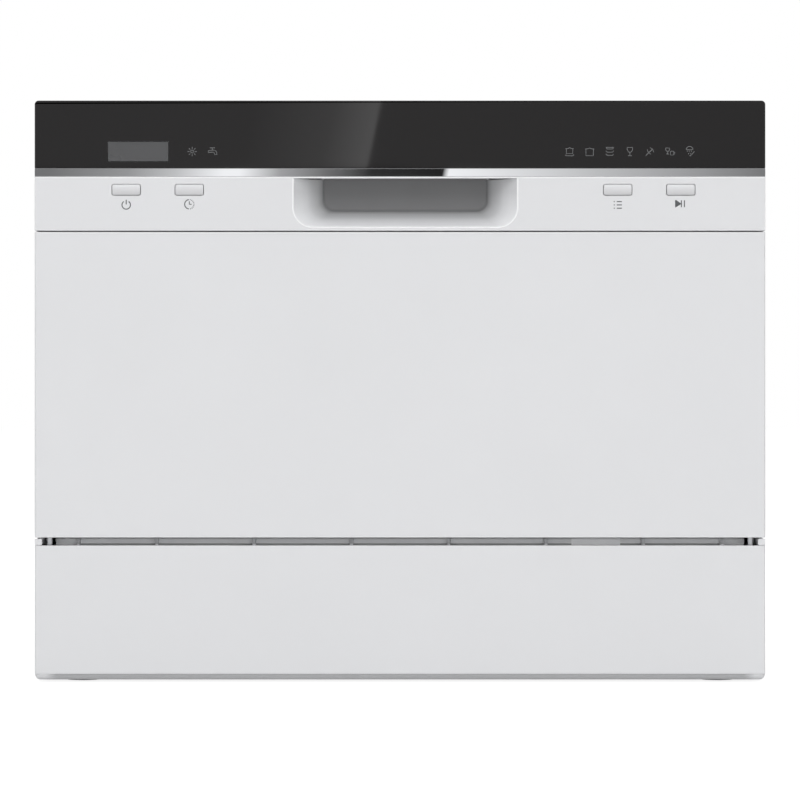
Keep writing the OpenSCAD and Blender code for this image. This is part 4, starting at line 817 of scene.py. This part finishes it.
def make_feet():
    """Rubber feet: a pad with a grooved waist and a hollow sole."""
    places = solid_places("rubber_feet")
    radius, height = places[0][1].x / 2, places[0][1].z
    pad, waist, top = 0.6 * height, 0.14 * height, 0.26 * height
    waist_depth, sole_rim, sole_depth = 1.6, 2.5, 1.2
    foot = round_start("foot", (0, 0, pad / 2), radius, pad, 48)
    with edit_faces(foot, facing(0, 0, 1)):
        bpy.ops.mesh.inset(thickness=waist_depth * MM)
        extrude(0, 0, waist)
    with edit_faces(foot, lambda centre, normal: normal.z > 0.99 and centre.z > pad + waist / 2):
        extrude(0, 0, top)
        bpy.ops.transform.resize(value=(0.9, 0.9, 1))
    with edit_faces(foot, facing(0, 0, -1)):
        bpy.ops.mesh.inset(thickness=sole_rim * MM)
        extrude(0, 0, sole_depth)
    round_edges(foot, 0.4 * MM)
    piece = copies(foot, [(middle.x, middle.y, 0) for middle, _ in places], "rubber_feet_finished")
    stand_for("rubber_feet", piece)


def in_door_gap(centre, normal):
    """Faces of the tray that show between the door and the plinth."""
    return centre.z > GAP_LOW - 0.5 and centre.y < GAP_WALL + 0.1 and abs(centre.x) < 250


def on_rib(centre, normal):
    """Faces of the ribs in front of that wall."""
    return in_door_gap(centre, normal) and centre.y < GAP_WALL - 0.6 and centre.z > GAP_LOW + 0.2


class DISHWASHER_OT_cabinet(bpy.types.Operator):
    """Cabinet panels, base tray, feet and case screws"""

    bl_idname = "dishwasher.cabinet"
    bl_label = "Cabinet"

    def execute(self, context):
        sizes, _ = lookup()
        sheets = ("top_panel", "side_panel_left", "side_panel_right", "plinth_panel", "rear_panel")
        dress_all({sizes.sheet_round: sheets})
        dress("base_tray", sizes.moulded_round, finishes=[
            # Painted shade on the tray's lower edge
            (FINISH["tray_edge"], lambda centre, normal: centre.z < TRAY_EDGE),
            # Painted shadow and painted light on the wall in the gap
            (FINISH["gap_wall"], in_door_gap),
            # Painted light on the ribs in the gap
            (FINISH["gap_rib"], on_rib),
        ])
        make_feet()
        screws_for("case_screws", 2.0)
        return {"FINISHED"}


class DISHWASHER_OT_connections(bpy.types.Operator):
    """Water inlet with its thread, drain spigot with its barbs and the mains gland"""

    bl_idname = "dishwasher.connections"
    bl_label = "Connections"

    def execute(self, context):
        sizes, _ = lookup()
        inlet_x, inlet_r, inlet_end = 190.0, 13.2, high_of("inlet_valve").y
        outlet_x, outlet_r, outlet_end = 123.0, 9.0, high_of("drain_outlet").y
        ridge, thread_pitch = 0.55, 1.814
        barb_length, barb_height = 3.0, 0.9

        def narrowed(x, radius, core):
            """Takes the spigot down to its core, so that ridges can stand on it."""
            def on_spigot(end):
                share = math.hypot(end.x - x, end.z - SPIGOT_ROW) / radius
                return end.y > NICHE_WALL and 0.97 < share < 1.01

            def shape(piece):
                with edit_edges(piece, on_spigot):
                    share, middle = core / radius, metres(x, NICHE_WALL, SPIGOT_ROW)
                    bpy.ops.transform.resize(value=(share, 1, share), center_override=middle)
            return shape

        turns = (inlet_end - NICHE_WALL - 2.4) / thread_pitch
        low, high = NICHE_WALL + 1.2, inlet_end - 1.2
        path = helix((inlet_x, SPIGOT_ROW), inlet_r - ridge, low, high, turns, "y", 28)
        thread = bent_bar("thread", path, ridge, sides=1)
        shape = narrowed(inlet_x, inlet_r, inlet_r - ridge)
        dress("inlet_valve", sizes.moulded_round, shape=shape, extras=[thread])
        barbs = []
        for start in (NICHE_WALL + 3.5, NICHE_WALL + 8, outlet_end - 3.6):
            centre = (outlet_x, start + barb_length / 2, SPIGOT_ROW)
            root = outlet_r - barb_height
            barb = round_start("barb", centre, outlet_r, barb_length, 40, "y", root)
            round_edges(barb, 0)
            barbs.append(barb)
        shape = narrowed(outlet_x, outlet_r, outlet_r - barb_height)
        dress("drain_outlet", sizes.sheet_round, shape=shape, extras=barbs)
        dress("cord_gland", sizes.moulded_round)
        return {"FINISHED"}


# Tub and water


class DISHWASHER_OT_tub(bpy.types.Operator):
    """Steel tub, its gasket and the door's strike"""

    bl_idname = "dishwasher.tub"
    bl_label = "Tub"

    def execute(self, context):
        sizes, _ = lookup()
        dress_all({
            sizes.sheet_round: ("tub_wrapper", "tub_back", "tub_floor", "door_strike"),
            sizes.moulded_round: ("door_gasket",),
        })
        return {"FINISHED"}


def spray_nozzles():
    """Raised nozzles round the holes of the spray arm."""
    hub_y = middle_of("spray_arm").y
    radius, height, hole_r, hole_depth = 4.4, 1.2, 1.8, 1.1
    top_radius = 3.2
    ring = round_start("nozzle", (0, 0, height / 2), radius, height, 24, top_radius=top_radius)
    with edit_faces(ring, facing(0, 0, 1)):
        bpy.ops.mesh.inset(thickness=(top_radius - hole_r) * MM)
        extrude(0, 0, -hole_depth)
    round_edges(ring, 0.15 * MM, 1)
    places = [(side * x, hub_y + 4 * side, BLADE_TOP) for side in (-1, 1) for x in range(40, 181, 30)]
    return copies(ring, places, "nozzles")


class DISHWASHER_OT_water(bpy.types.Operator):
    """Sump, filters, spray arm, pumps, heater, hoses and fill chamber"""

    bl_idname = "dishwasher.water"
    bl_label = "Water parts"

    def execute(self, context):
        sizes, _ = lookup()
        dress_all({
            sizes.moulded_round: ("sump", "fill_chamber", "leak_switch", "drain_hose"),
            sizes.soft_round: ("wash_pump", "drain_pump"),
            sizes.sheet_round: ("flow_heater", "filter_cylinder"),
        })
        dress("filter_plate", sizes.sheet_round, finishes=[(FINISH["sieve"], facing(0, 0, 1))])
        dress("spray_arm", 1.8 * MM, 4, extras=[spray_nozzles()])
        self.hose()
        return {"FINISHED"}

    def hose(self):
        """Fill hose with round bends and a clip at each end."""
        low, high = low_of("fill_hose"), high_of("fill_hose")
        radius = (high.y - low.y) / 2 - 0.1
        y = (low.y + high.y) / 2
        start = (low.x + radius + 0.1, y, low.z)
        end = (high.x - radius - 0.1, y, high.z)
        bend, clip_place, clip_width = 13, 6, 4
        path = eased([start, (start[0], y, HOSE_RUN), (end[0], y, HOSE_RUN), end], bend)
        hose = bent_bar("hose", path, radius - 0.2, sides=5)
        round_edges(hose, 0)
        clips = []
        for place in ((start[0], y, low.z + clip_place), (end[0], y, high.z - clip_place)):
            clip = round_start("clip", place, radius + 0.05, clip_width, 36)
            round_edges(clip, 0.5 * MM)
            clips.append(clip)
        stand_for("fill_hose", join([hose, *clips], "fill_hose_finished"))


# Hinges


def coil_spring(node):
    """Tension spring with a loop at each end."""
    low, high = low_of(node), high_of(node)
    centre = ((low.x + high.x) / 2, (low.y + high.y) / 2)
    wire, turns, per_turn = 0.65, 40, 14
    radius = (high.x - low.x) / 2 - wire - 0.05
    loop = 2 * radius
    path = helix(centre, radius, low.z + loop, high.z - loop, turns, "z", per_turn)
    for end, inward in ((low.z + wire, 1), (high.z - wire, -1)):
        ring = []
        for step in range(15):
            angle = 2 * math.pi * step / 18
            rise = inward * radius * (1 + math.sin(angle))
            ring.append((centre[0] + radius * math.cos(angle), centre[1], end + rise))
        path = (ring[::-1] + path) if inward > 0 else (path + ring)
    spring = bent_bar(node + "_finished", path, wire)
    round_edges(spring, 0)
    stand_for(node, spring)


class DISHWASHER_OT_hinges(bpy.types.Operator):
    """Hinge brackets, arms and springs"""

    bl_idname = "dishwasher.hinges"
    bl_label = "Hinges"

    def execute(self, context):
        sizes, _ = lookup()
        parts = ("hinge_bracket_left", "hinge_bracket_right", "hinge_arm_left", "hinge_arm_right")
        dress_all({sizes.sheet_round: parts})
        coil_spring("door_spring_left")
        coil_spring("door_spring_right")
        return {"FINISHED"}


# Door


def mouth_outline():
    """Edge of the grip's mouth, from its upper left corner round to its upper right one, in mm."""
    left, right = GRIP_MIDDLE - GRIP_HALF, GRIP_MIDDLE + GRIP_HALF
    path = [(left, GRIP_TOP)]
    for centre_x, start in ((left + GRIP_CORNER, 180), (right - GRIP_CORNER, 270)):
        for step in range(13):
            angle = math.radians(start + 90 * step / 12)
            x = centre_x + GRIP_CORNER * math.cos(angle)
            path.append((x, GRIP_LOW + GRIP_CORNER * (1 + math.sin(angle))))
    path.append((right, GRIP_TOP))
    return path


def pressed_flat(piece, y, share):
    """Presses a bar that lies about y = 0 flat and moves it to the face at y, in mm."""
    piece.scale = (1, share, 1)
    piece.location = metres(0, y, 0)
    settle(piece)
    return piece


def soften_grip(piece):
    """Wide fillets round the back of the grip pocket."""
    sizes, _ = lookup()

    def at_back(end):
        on_plane = abs(end.y - GRIP_BACK) < 0.05
        return on_plane and 350 < end.z < GRIP_TOP - 5.9 and abs(end.x - GRIP_MIDDLE) < 62

    with edit_edges(piece, at_back):
        bpy.ops.mesh.bevel(offset=sizes.grip_fillet, segments=6, affect="EDGES", clamp_overlap=True)


def in_grip(centre, normal):
    """Faces inside the grip pocket."""
    inside = abs(centre.x - GRIP_MIDDLE) < GRIP_HALF + 0.5 and GRIP_LOW - 0.5 < centre.z < GRIP_TOP + 8
    return inside and PANEL_FACE + 0.3 < centre.y < GRIP_BACK + 0.5


def grip_lip():
    """Bead round the mouth of the grip and along the panel's upper edge, brighter than the panel as a
    painted highlight.
    """
    mouth = bent_bar("mouth", [(x, 0, z) for x, z in mouth_outline()], 0.55)
    edge = bent_bar("edge", [(-274.5, 0, PANEL_TOP), (274.5, 0, PANEL_TOP)], 0.5)
    pieces = [pressed_flat(piece, PANEL_FACE, 0.35) for piece in (mouth, edge)]
    for piece in pieces:
        round_edges(piece, 0)
    lip = join(pieces, "grip_lip")
    set_finish(lip, FINISH["lip_white"])
    attach(lip, "door", "moulded_white")


def widen_face(strip):
    """Brings the strip's mirror face close to the window and to the white part."""
    with edit_faces(strip, facing(0, -1, 0)):
        middle = metres(*middle_of("trim_strip"))
        bpy.ops.transform.resize(value=(1, 1, STRIP_WIDENED), center_override=middle)


class DISHWASHER_OT_door(bpy.types.Operator):
    """Door skin, panel with its grip, window, trim, liner and what they hold"""

    bl_idname = "dishwasher.door"
    bl_label = "Door"

    def execute(self, context):
        sizes, _ = lookup()
        dress_all({
            sizes.sheet_round: ("door_skin", "door_liner", "control_board"),
            sizes.moulded_round: ("door_lock", "lower_seal"),
        })
        dress("fascia_window", sizes.moulded_round, mirror=facing(0, -1, 0))
        dress("trim_strip", 0.12 * MM, shape=widen_face, mirror=facing(0, -1, 0))
        dress("display_window", 0.3 * MM, mirror=facing(0, -1, 0))
        # The grip pocket's faces get the painted shade and painted light
        dress("control_panel", 0.45 * MM, shape=soften_grip, finishes=[(FINISH["grip_white"], in_grip)])
        grip_lip()
        screws_for("door_screws", 1.6)
        return {"FINISHED"}


def crown(piece):
    """Crowns a button's face: its rim falls back and its middle stays."""
    node = piece.name.replace("_finished", "")
    front, level = low_of(node).y, (BUTTON_LOW + BUTTON_HIGH) / 2
    for height in (level - 1.5, level + 1.5):
        with edit_faces(piece, lambda centre, normal: normal.y < -0.99 and centre.y < front + 0.1):
            bpy.ops.mesh.bisect(plane_co=metres(0, 0, height), plane_no=(0, 0, 1))
    with edit_edges(piece, lambda end: end.y < front + 0.05 and abs(end.z - level) > 2.5):
        bpy.ops.transform.translate(value=metres(0, BUTTON_CROWN, 0))


class DISHWASHER_OT_buttons(bpy.types.Operator):
    """The four push buttons"""

    bl_idname = "dishwasher.buttons"
    bl_label = "Buttons"

    def execute(self, context):
        for name in BUTTONS:
            # The whole button gets the painted shade and painted light
            whole = (FINISH["button_white"], lambda centre, normal: True)
            dress("button_" + name, 0.3 * MM, shape=crown, clamp=True, finishes=[whole])
        return {"FINISHED"}


# Print


def arc(x, z, radius, start, end, steps=16):
    """Points of an arc in x and z; angles in degrees."""
    turns = [math.radians(start + (end - start) * step / steps) for step in range(steps + 1)]
    return [(x + radius * math.cos(turn), z + radius * math.sin(turn)) for turn in turns]


def power_symbol():
    return [arc(0, 0, 3.2, 125, 415), [(0, 0.4), (0, 3.9)]]


def clock_symbol():
    dots = [arc(0, 0.5, 3.5, angle, angle + 9, 2) for angle in range(-78, 90, 19)]
    return [arc(0, 0.5, 3.5, 96, 264), *dots, [(0, 2.7), (0, 0.5), (1.7, 0.5)]]


def list_symbol():
    rows = (2.5, 0.0, -2.5)
    return [[(-3.0, z), (-2.2, z)] for z in rows] + [[(-0.7, z), (3.1, z)] for z in rows]


def start_symbol():
    wedge = [[(-3.9 + 0.35 * k, 3.4 - 0.2 * k), (-3.9 + 0.35 * k, -1.6 + 0.2 * k)] for k in range(12)]
    outline = [(-4.0, 3.5), (-4.0, -1.7), (0.1, 0.9), (-4.0, 3.5)]
    return [outline, *wedge, [(0.4, 3.5), (0.4, -1.7)], [(2.7, 3.5), (2.7, -1.7)]]


def sun_icon():
    turns = [math.radians(45 * k) for k in range(8)]
    rays = [[(r * math.cos(turn), r * math.sin(turn)) for r in (2.0, 3.5)] for turn in turns]
    return [arc(0, 0, 1.1, 0, 360), *rays]


def tap_icon():
    spout = [*arc(1.0, -1.4, 2.4, 90, 10, 6), (3.3, -2.2)]
    body = [(-3.1, -0.9), (-3.1, 0.6), (-1.2, 1.0), (1.0, 1.0), *spout]
    under = [(-3.1, -0.9), (-1.0, -0.5), (0.6, -0.5), (1.5, -1.2), (1.7, -2.2), (3.3, -2.2)]
    return [body, under, [(0, 1.0), (0, 2.8)], [(-1.9, 2.8), (1.9, 2.8)]]


def pot(x, z, half, height):
    rim, ear = z + height, half + 0.7
    lid = [(-ear, 0.1), (-0.8, 0.5), (0, 1.0), (0.8, 0.5), (ear, 0.1)]
    return [
        [(x - half, rim), (x - half, z), (x + half, z), (x + half, rim)],
        [(x + a, rim + b) for a, b in lid],
    ]


def pot_on_base_icon():
    return pot(0, -1.6, 2.4, 3.5) + [[(-3.3, -2.5), (-2.5, -3.2), (2.5, -3.2), (3.4, -2.3)]]


def pot_icon():
    return pot(0, -3.1, 2.8, 4.8)


def plates_icon():
    bowls = [[(-2.9, z + 1.1), (-2.0, z), (2.0, z), (2.9, z + 1.1)] for z in (1.9, -0.5, -2.9)]
    return [[(-2.9, 3.1), (2.9, 3.1)], *bowls]


def glass(x, z, scale):
    half_cup = [(-2.0, 3.1), (-2.0, 1.4), (-1.2, -0.1), (0, -0.7)]
    cup = half_cup + [(-a, b) for a, b in half_cup[-2::-1]] + half_cup[:1]
    lines = [cup, [(0, -0.7), (0, -3.1)], [(-1.5, -3.1), (1.5, -3.1)]]
    return [[(x + a * scale, z + b * scale) for a, b in line] for line in lines]


def glass_icon():
    return glass(0, 0, 1.0)


def leaf_icon():
    edge = arc(-1.2, -0.9, 4.0, 72, 5, 8)
    other = arc(1.9, 1.9, 4.0, 252, 185, 8)
    veins = [[(-1.8 + k, -1.6 + k), (-0.9 + k, -1.7 + k * 1.1)] for k in (0.6, 1.5, 2.4)]
    stem = [(-3.2, -3.2), (-1.8, -1.6), (1.8, 1.9)]
    return [edge, other, stem, *veins]


def glass_and_cup_icon():
    cup = [(0.3, 0.2), (0.3, -2.6), (2.6, -2.6), (2.6, 0.2), (0.3, 0.2)]
    return glass(-1.9, 0.4, 0.72) + [cup, [(2.6, -0.4), (3.5, -0.6), (3.5, -1.7), (2.6, -1.9)]]


def rinse_icon():
    starts = ((-2.2, 0.7), (-0.7, 0.7), (0.8, 0.7), (-1.4, -1.2), (0.1, -1.2))
    drops = [[(x, z), (x + 0.1, z - 0.9)] for x, z in starts]
    head = [arc(-0.5, 1.4, 2.5, 0, 180, 10), [(-3.0, 1.4), (2.0, 1.4)]]
    return [*head, *drops, [(-0.6, -3.1), (0.4, -3.1), (3.1, 0.1)]]


def draw_symbols(name, symbols, face, line, finish):
    """Thin print on a front face, from ((x, z), lines) pairs in mm."""
    strokes = []
    for (x, z), lines in symbols:
        for points in lines:
            bar = bent_bar("stroke", [(x + a, 0, z + b) for a, b in points], line / MM / 2, sides=0)
            strokes.append(pressed_flat(bar, face, 0.14))
    piece = join(strokes, name)
    round_edges(piece, 0)
    set_finish(piece, FINISH[finish])
    attach(piece, "door", "display_glass")


class DISHWASHER_OT_symbols(bpy.types.Operator):
    """Symbols under the buttons and icons in the window"""

    bl_idname = "dishwasher.symbols"
    bl_label = "Symbols"

    def execute(self, context):
        sizes, _ = lookup()
        drawings = (power_symbol, clock_symbol, list_symbol, start_symbol)
        buttons = []
        for name, draw in zip(BUTTONS, drawings):
            buttons.append(((middle_of("button_" + name).x, SYMBOL_ROW), draw()))
        draw_symbols("panel_symbols", buttons, PANEL_FACE, sizes.symbol_line, "panel_print")
        signs = [((-156.4, ICON_ROW), sun_icon()), ((-141.2, ICON_ROW), tap_icon())]
        drawings = (
            pot_on_base_icon, pot_icon, plates_icon, glass_icon, leaf_icon, glass_and_cup_icon,
            rinse_icon,
        )
        for place, draw in enumerate(drawings):
            signs.append(((ICON_FIRST + ICON_PITCH * place, ICON_ROW), draw()))
        draw_symbols("window_icons", signs, low_of("fascia_window").y, sizes.icon_line, "window_print")
        return {"FINISHED"}


# Dispenser, rack and baskets


class DISHWASHER_OT_dispenser(bpy.types.Operator):
    """Dispenser with its sliding lid and rinse aid cap"""

    bl_idname = "dishwasher.dispenser"
    bl_label = "Dispenser"

    def execute(self, context):
        sizes, _ = lookup()
        low, high = low_of("dispenser_lid"), high_of("dispenser_lid")
        ridges = []
        first_ridge, ridge_pitch = 9, 5
        for step in range(4):
            x = high.x - first_ridge - ridge_pitch * step
            corners = (x - 1, high.y - 0.4, low.z + 14), (x + 1, high.y + 0.7, high.z - 14)
            ridge = box_start("ridge", *corners)
            round_edges(ridge, 0.45 * MM, 3)
            ridges.append(ridge)
        dress("dispenser_body", sizes.moulded_round)
        dress("dispenser_lid", sizes.moulded_round, extras=ridges)
        dress("rinse_cap", sizes.moulded_round)
        return {"FINISHED"}


class DISHWASHER_OT_rack(bpy.types.Operator):
    """Wire rack with its wheel carriers and shelf clips"""

    bl_idname = "dishwasher.rack"
    bl_label = "Rack"

    def execute(self, context):
        sizes, _ = lookup()
        dress_all({
            0.0: ("rack_rim", "rack_long_wires", "rack_cross_wires", "rack_tines"),
            sizes.moulded_round: ("wheel_carriers", "shelf_clips"),
        })
        return {"FINISHED"}


class DISHWASHER_OT_wheels(bpy.types.Operator):
    """The rack's four wheels"""

    bl_idname = "dishwasher.wheels"
    bl_label = "Wheels"

    def execute(self, context):
        for node in ("front_wheels", "rear_wheels"):
            self.pair(node)
        return {"FINISHED"}

    def pair(self, node):
        """Dished wheels with a hub, five ribs and a soft tread."""
        places = solid_places(node)
        radius, width = places[0][1].z / 2, places[0][1].x
        tread, dish, rib_count, rib_from, rib_half = 1.8, 3.2, 5, 3.4, 0.5
        wheel = round_start("wheel", (0, 0, 0), radius, width, 40, "x")
        with edit_faces(wheel, both_ways(1, 0, 0)):
            for border, share in ((tread, 0.45), (dish, 1.9)):
                bpy.ops.mesh.inset(thickness=border * MM, use_individual=True)
                bpy.ops.transform.resize(value=(share, 1, 1))
        round_edges(wheel, 0.35 * MM)
        ribs = []
        reach = 0.4 * width
        for step in range(rib_count):
            corners = (-reach, rib_from, -rib_half), (reach, radius - 1.5, rib_half)
            rib = box_start("rib", *corners)
            rib.rotation_euler = (2 * math.pi * step / rib_count, 0, 0)
            settle(rib)
            ribs.append(rib)
        pattern = join([wheel, *ribs], "wheel")
        piece = copies(pattern, [tuple(middle) for middle, _ in places], node + "_finished")
        stand_for(node, piece)


class DISHWASHER_OT_baskets(bpy.types.Operator):
    """Cutlery basket and cup shelf"""

    bl_idname = "dishwasher.baskets"
    bl_label = "Baskets"

    def execute(self, context):
        sizes, _ = lookup()
        dress_all({sizes.moulded_round: ("cutlery_basket", "cup_shelf")})
        return {"FINISHED"}


# Stage


def seen_directly(tree):
    """1 for rays from the camera, from mirrors and through glass."""
    path = tree.nodes.new("ShaderNodeLightPath")
    seen = path.outputs["Is Camera Ray"]
    for output in ("Is Glossy Ray", "Is Transmission Ray"):
        seen = calculate(tree, "MAXIMUM", seen, path.outputs[output])
    return seen


def white_glow(tree, kind, strength):
    return add_node(tree, kind, 0, {"Color": opaque(WHITE), "Strength": strength})


def mix_shaders(tree, factor, first, second):
    return add_node(tree, "ShaderNodeMixShader", "Shader", {"Fac": factor, 1: first, 2: second})


def make_world(scene):
    """White to the camera, to mirrors and through glass, and a soft light for the rest."""
    world = bpy.data.worlds.new("studio")
    scene.world = world
    world.use_nodes = True
    tree = world.node_tree
    tree.nodes.clear()
    output = tree.nodes.new("ShaderNodeOutputWorld")
    light, shown = (white_glow(tree, "ShaderNodeBackground", level) for level in (WORLD_LIGHT, 1.0))
    tree.links.new(mix_shaders(tree, seen_directly(tree), light, shown), output.inputs["Surface"])


def make_floor():
    """Floor that is white to the camera but keeps the object's shadow."""
    bpy.ops.mesh.primitive_plane_add(size=60, location=(0, 0, 0))
    floor = bpy.context.object
    floor.name = "floor"
    material = base_material("floor", (0.8, 0.8, 0.8), 0.9)
    tree = material.node_tree
    vary_colour(material, object_noise(tree, 0.4), (0.79, 0.79, 0.79), (0.81, 0.81, 0.81))
    catcher = add_node(tree, "ShaderNodeBsdfDiffuse", "BSDF", {"Color": opaque(WHITE, FLOOR_SHADE)})
    glow = white_glow(tree, "ShaderNodeEmission", FLOOR_GLOW)
    shown = add_node(tree, "ShaderNodeAddShader", "Shader", {0: glow, 1: catcher})
    lit = tree.nodes["Principled BSDF"].outputs["BSDF"]
    shader = mix_shaders(tree, seen_directly(tree), lit, shown)
    tree.links.new(shader, tree.nodes["Material Output"].inputs["Surface"])
    set_finish(floor, material)


def make_card():
    """Card level with the camera: the front's flat shiny faces mirror it."""
    bpy.ops.mesh.primitive_plane_add(size=1, location=CAMERA_PLACE)
    card = bpy.context.object
    card.name = "mirror_card"
    card.scale = (6.0, 3.0, 1.0)
    card.rotation_euler = (math.pi / 2, 0, 0)
    settle(card)
    card.visible_camera = card.visible_diffuse = card.visible_shadow = card.visible_transmission = False
    material = bpy.data.materials.new("mirror card")
    material.use_nodes = True
    tree = material.node_tree
    tree.nodes.clear()
    output = tree.nodes.new("ShaderNodeOutputMaterial")
    glow = tree.nodes.new("ShaderNodeEmission")
    tree.links.new(glow.outputs["Emission"], output.inputs["Surface"])
    card_x, _, card_z = object_axes(tree)
    # Place on the front, in mm, that mirrors each point of the card
    x = calculate(tree, "MULTIPLY", card_x, 1000 / MIRROR)
    z = calculate(tree, "MULTIPLY_ADD", card_z, 1000 / MIRROR, CAMERA_HEIGHT * 1000 * (1 - 1 / MIRROR))
    slope = 0.208
    slant = calculate(tree, "MULTIPLY_ADD", z, -slope, WINDOW_LOW * slope)
    reach = 300.0
    place = span(tree, calculate(tree, "ADD", x, slant), -reach, reach, 0.0, 1.0)
    window = tone_ramp(tree, place, WHITE, (
        (0.0, 0.55), (0.3, 0.58), (0.4, 0.95), (0.4595, 1.75), (0.461, 0.55), (1.0, 0.5),
    ))
    strip = tone_ramp(tree, place, WHITE, (
        (0.06, 0.2), (0.16, 0.36), (0.22, 0.62), (0.28, 1.05), (0.3, 1.05), (0.35, 0.42), (0.41, 0.18),
        (0.465, 0.035), (0.557, 0.02), (0.56, 1.05), (0.75, 0.6), (0.96, 0.22),
    ))
    above_strip = calculate(tree, "GREATER_THAN", z, WINDOW_LOW + 0.3)
    below_strip = calculate(tree, "LESS_THAN", z, PANEL_TOP - 0.55)
    front = pick(tree, above_strip, strip, window)
    tree.links.new(pick(tree, below_strip, front, opaque(WHITE, 0.8)), glow.inputs["Color"])
    set_finish(card, material)


def add_lamp(name, location, target, size, power):
    bpy.ops.object.light_add(type="AREA", location=location)
    lamp = bpy.context.object
    lamp.name = name
    lamp.data.shape = "RECTANGLE"
    lamp.data.size, lamp.data.size_y = size
    lamp.data.energy = power
    lamp.rotation_euler = (Vector(target) - Vector(location)).to_track_quat("-Z", "Y").to_euler()
    lamp.visible_camera = lamp.visible_glossy = False


def make_lamps():
    add_lamp("key_lamp", (-1.4, -3.0, 2.4), (0, -0.1, 0.2), (2.2, 1.6), 26)
    add_lamp("fill_lamp", (2.2, -2.8, 1.2), (0, -0.1, 0.2), (2.0, 2.0), 10.5)
    add_lamp("front_lamp", (0, -3.4, 0.25), (0, 0, 0.2), (3.0, 0.4), 27)
    add_lamp("top_lamp", (0, 0.2, 3.0), (0, 0, 0.4), (2.5, 2.5), 26)
    add_lamp("back_lamp", (0.6, 3.0, 1.8), (0, 0.1, 0.2), (2.5, 1.5), 26)


def make_camera(scene):
    bpy.ops.object.camera_add(location=CAMERA_PLACE, rotation=(math.pi / 2, 0, 0))
    camera = bpy.context.object
    camera.data.sensor_width = SENSOR
    camera.data.lens = SENSOR * CAMERA_DISTANCE / FIELD_WIDTH
    camera.data.clip_end = 100
    camera.data.dof.use_dof = False
    scene.camera = camera


class DISHWASHER_OT_stage(bpy.types.Operator):
    """Floor, lights, mirror card and camera"""

    bl_idname = "dishwasher.stage"
    bl_label = "Stage"

    def execute(self, context):
        scene = context.scene
        scene.view_settings.view_transform = "Standard"
        make_world(scene)
        make_floor()
        make_card()
        make_lamps()
        make_camera(scene)
        return {"FINISHED"}


class DISHWASHER_PT_panel(bpy.types.Panel):
    """Lists the dishwasher's steps"""

    bl_idname = "DISHWASHER_PT_panel"
    bl_label = "Dishwasher"
    bl_space_type = "VIEW_3D"
    bl_region_type = "UI"
    bl_category = "Dishwasher"

    def draw(self, context):
        for group in lookup():
            for key in group.bl_rna.properties.keys():
                if key not in ("rna_type", "name"):
                    self.layout.prop(group, key)
        for operator in OPERATORS:
            self.layout.operator(operator.bl_idname)


OPERATORS = (
    DISHWASHER_OT_finishes,
    DISHWASHER_OT_cabinet,
    DISHWASHER_OT_connections,
    DISHWASHER_OT_tub,
    DISHWASHER_OT_water,
    DISHWASHER_OT_hinges,
    DISHWASHER_OT_door,
    DISHWASHER_OT_buttons,
    DISHWASHER_OT_symbols,
    DISHWASHER_OT_dispenser,
    DISHWASHER_OT_rack,
    DISHWASHER_OT_wheels,
    DISHWASHER_OT_baskets,
    DISHWASHER_OT_stage,
)
CLASSES = (DishwasherSizes, DishwasherColours, *OPERATORS, DISHWASHER_PT_panel)


def register():
    for cls in CLASSES:
        bpy.utils.register_class(cls)
    bpy.types.Scene.dishwasher_sizes = bpy.props.PointerProperty(type=DishwasherSizes)
    bpy.types.Scene.dishwasher_colours = bpy.props.PointerProperty(type=DishwasherColours)


def unregister():
    del bpy.types.Scene.dishwasher_colours
    del bpy.types.Scene.dishwasher_sizes
    for cls in reversed(CLASSES):
        bpy.utils.unregister_class(cls)


def main():
    register()
    bpy.ops.dishwasher.finishes()
    bpy.ops.dishwasher.cabinet()
    bpy.ops.dishwasher.connections()
    bpy.ops.dishwasher.tub()
    bpy.ops.dishwasher.water()
    bpy.ops.dishwasher.hinges()
    bpy.ops.dishwasher.door()
    bpy.ops.dishwasher.buttons()
    bpy.ops.dishwasher.symbols()
    bpy.ops.dishwasher.dispenser()
    bpy.ops.dishwasher.rack()
    bpy.ops.dishwasher.wheels()
    bpy.ops.dishwasher.baskets()
    bpy.ops.dishwasher.stage()


if __name__ == "__main__":
    main()
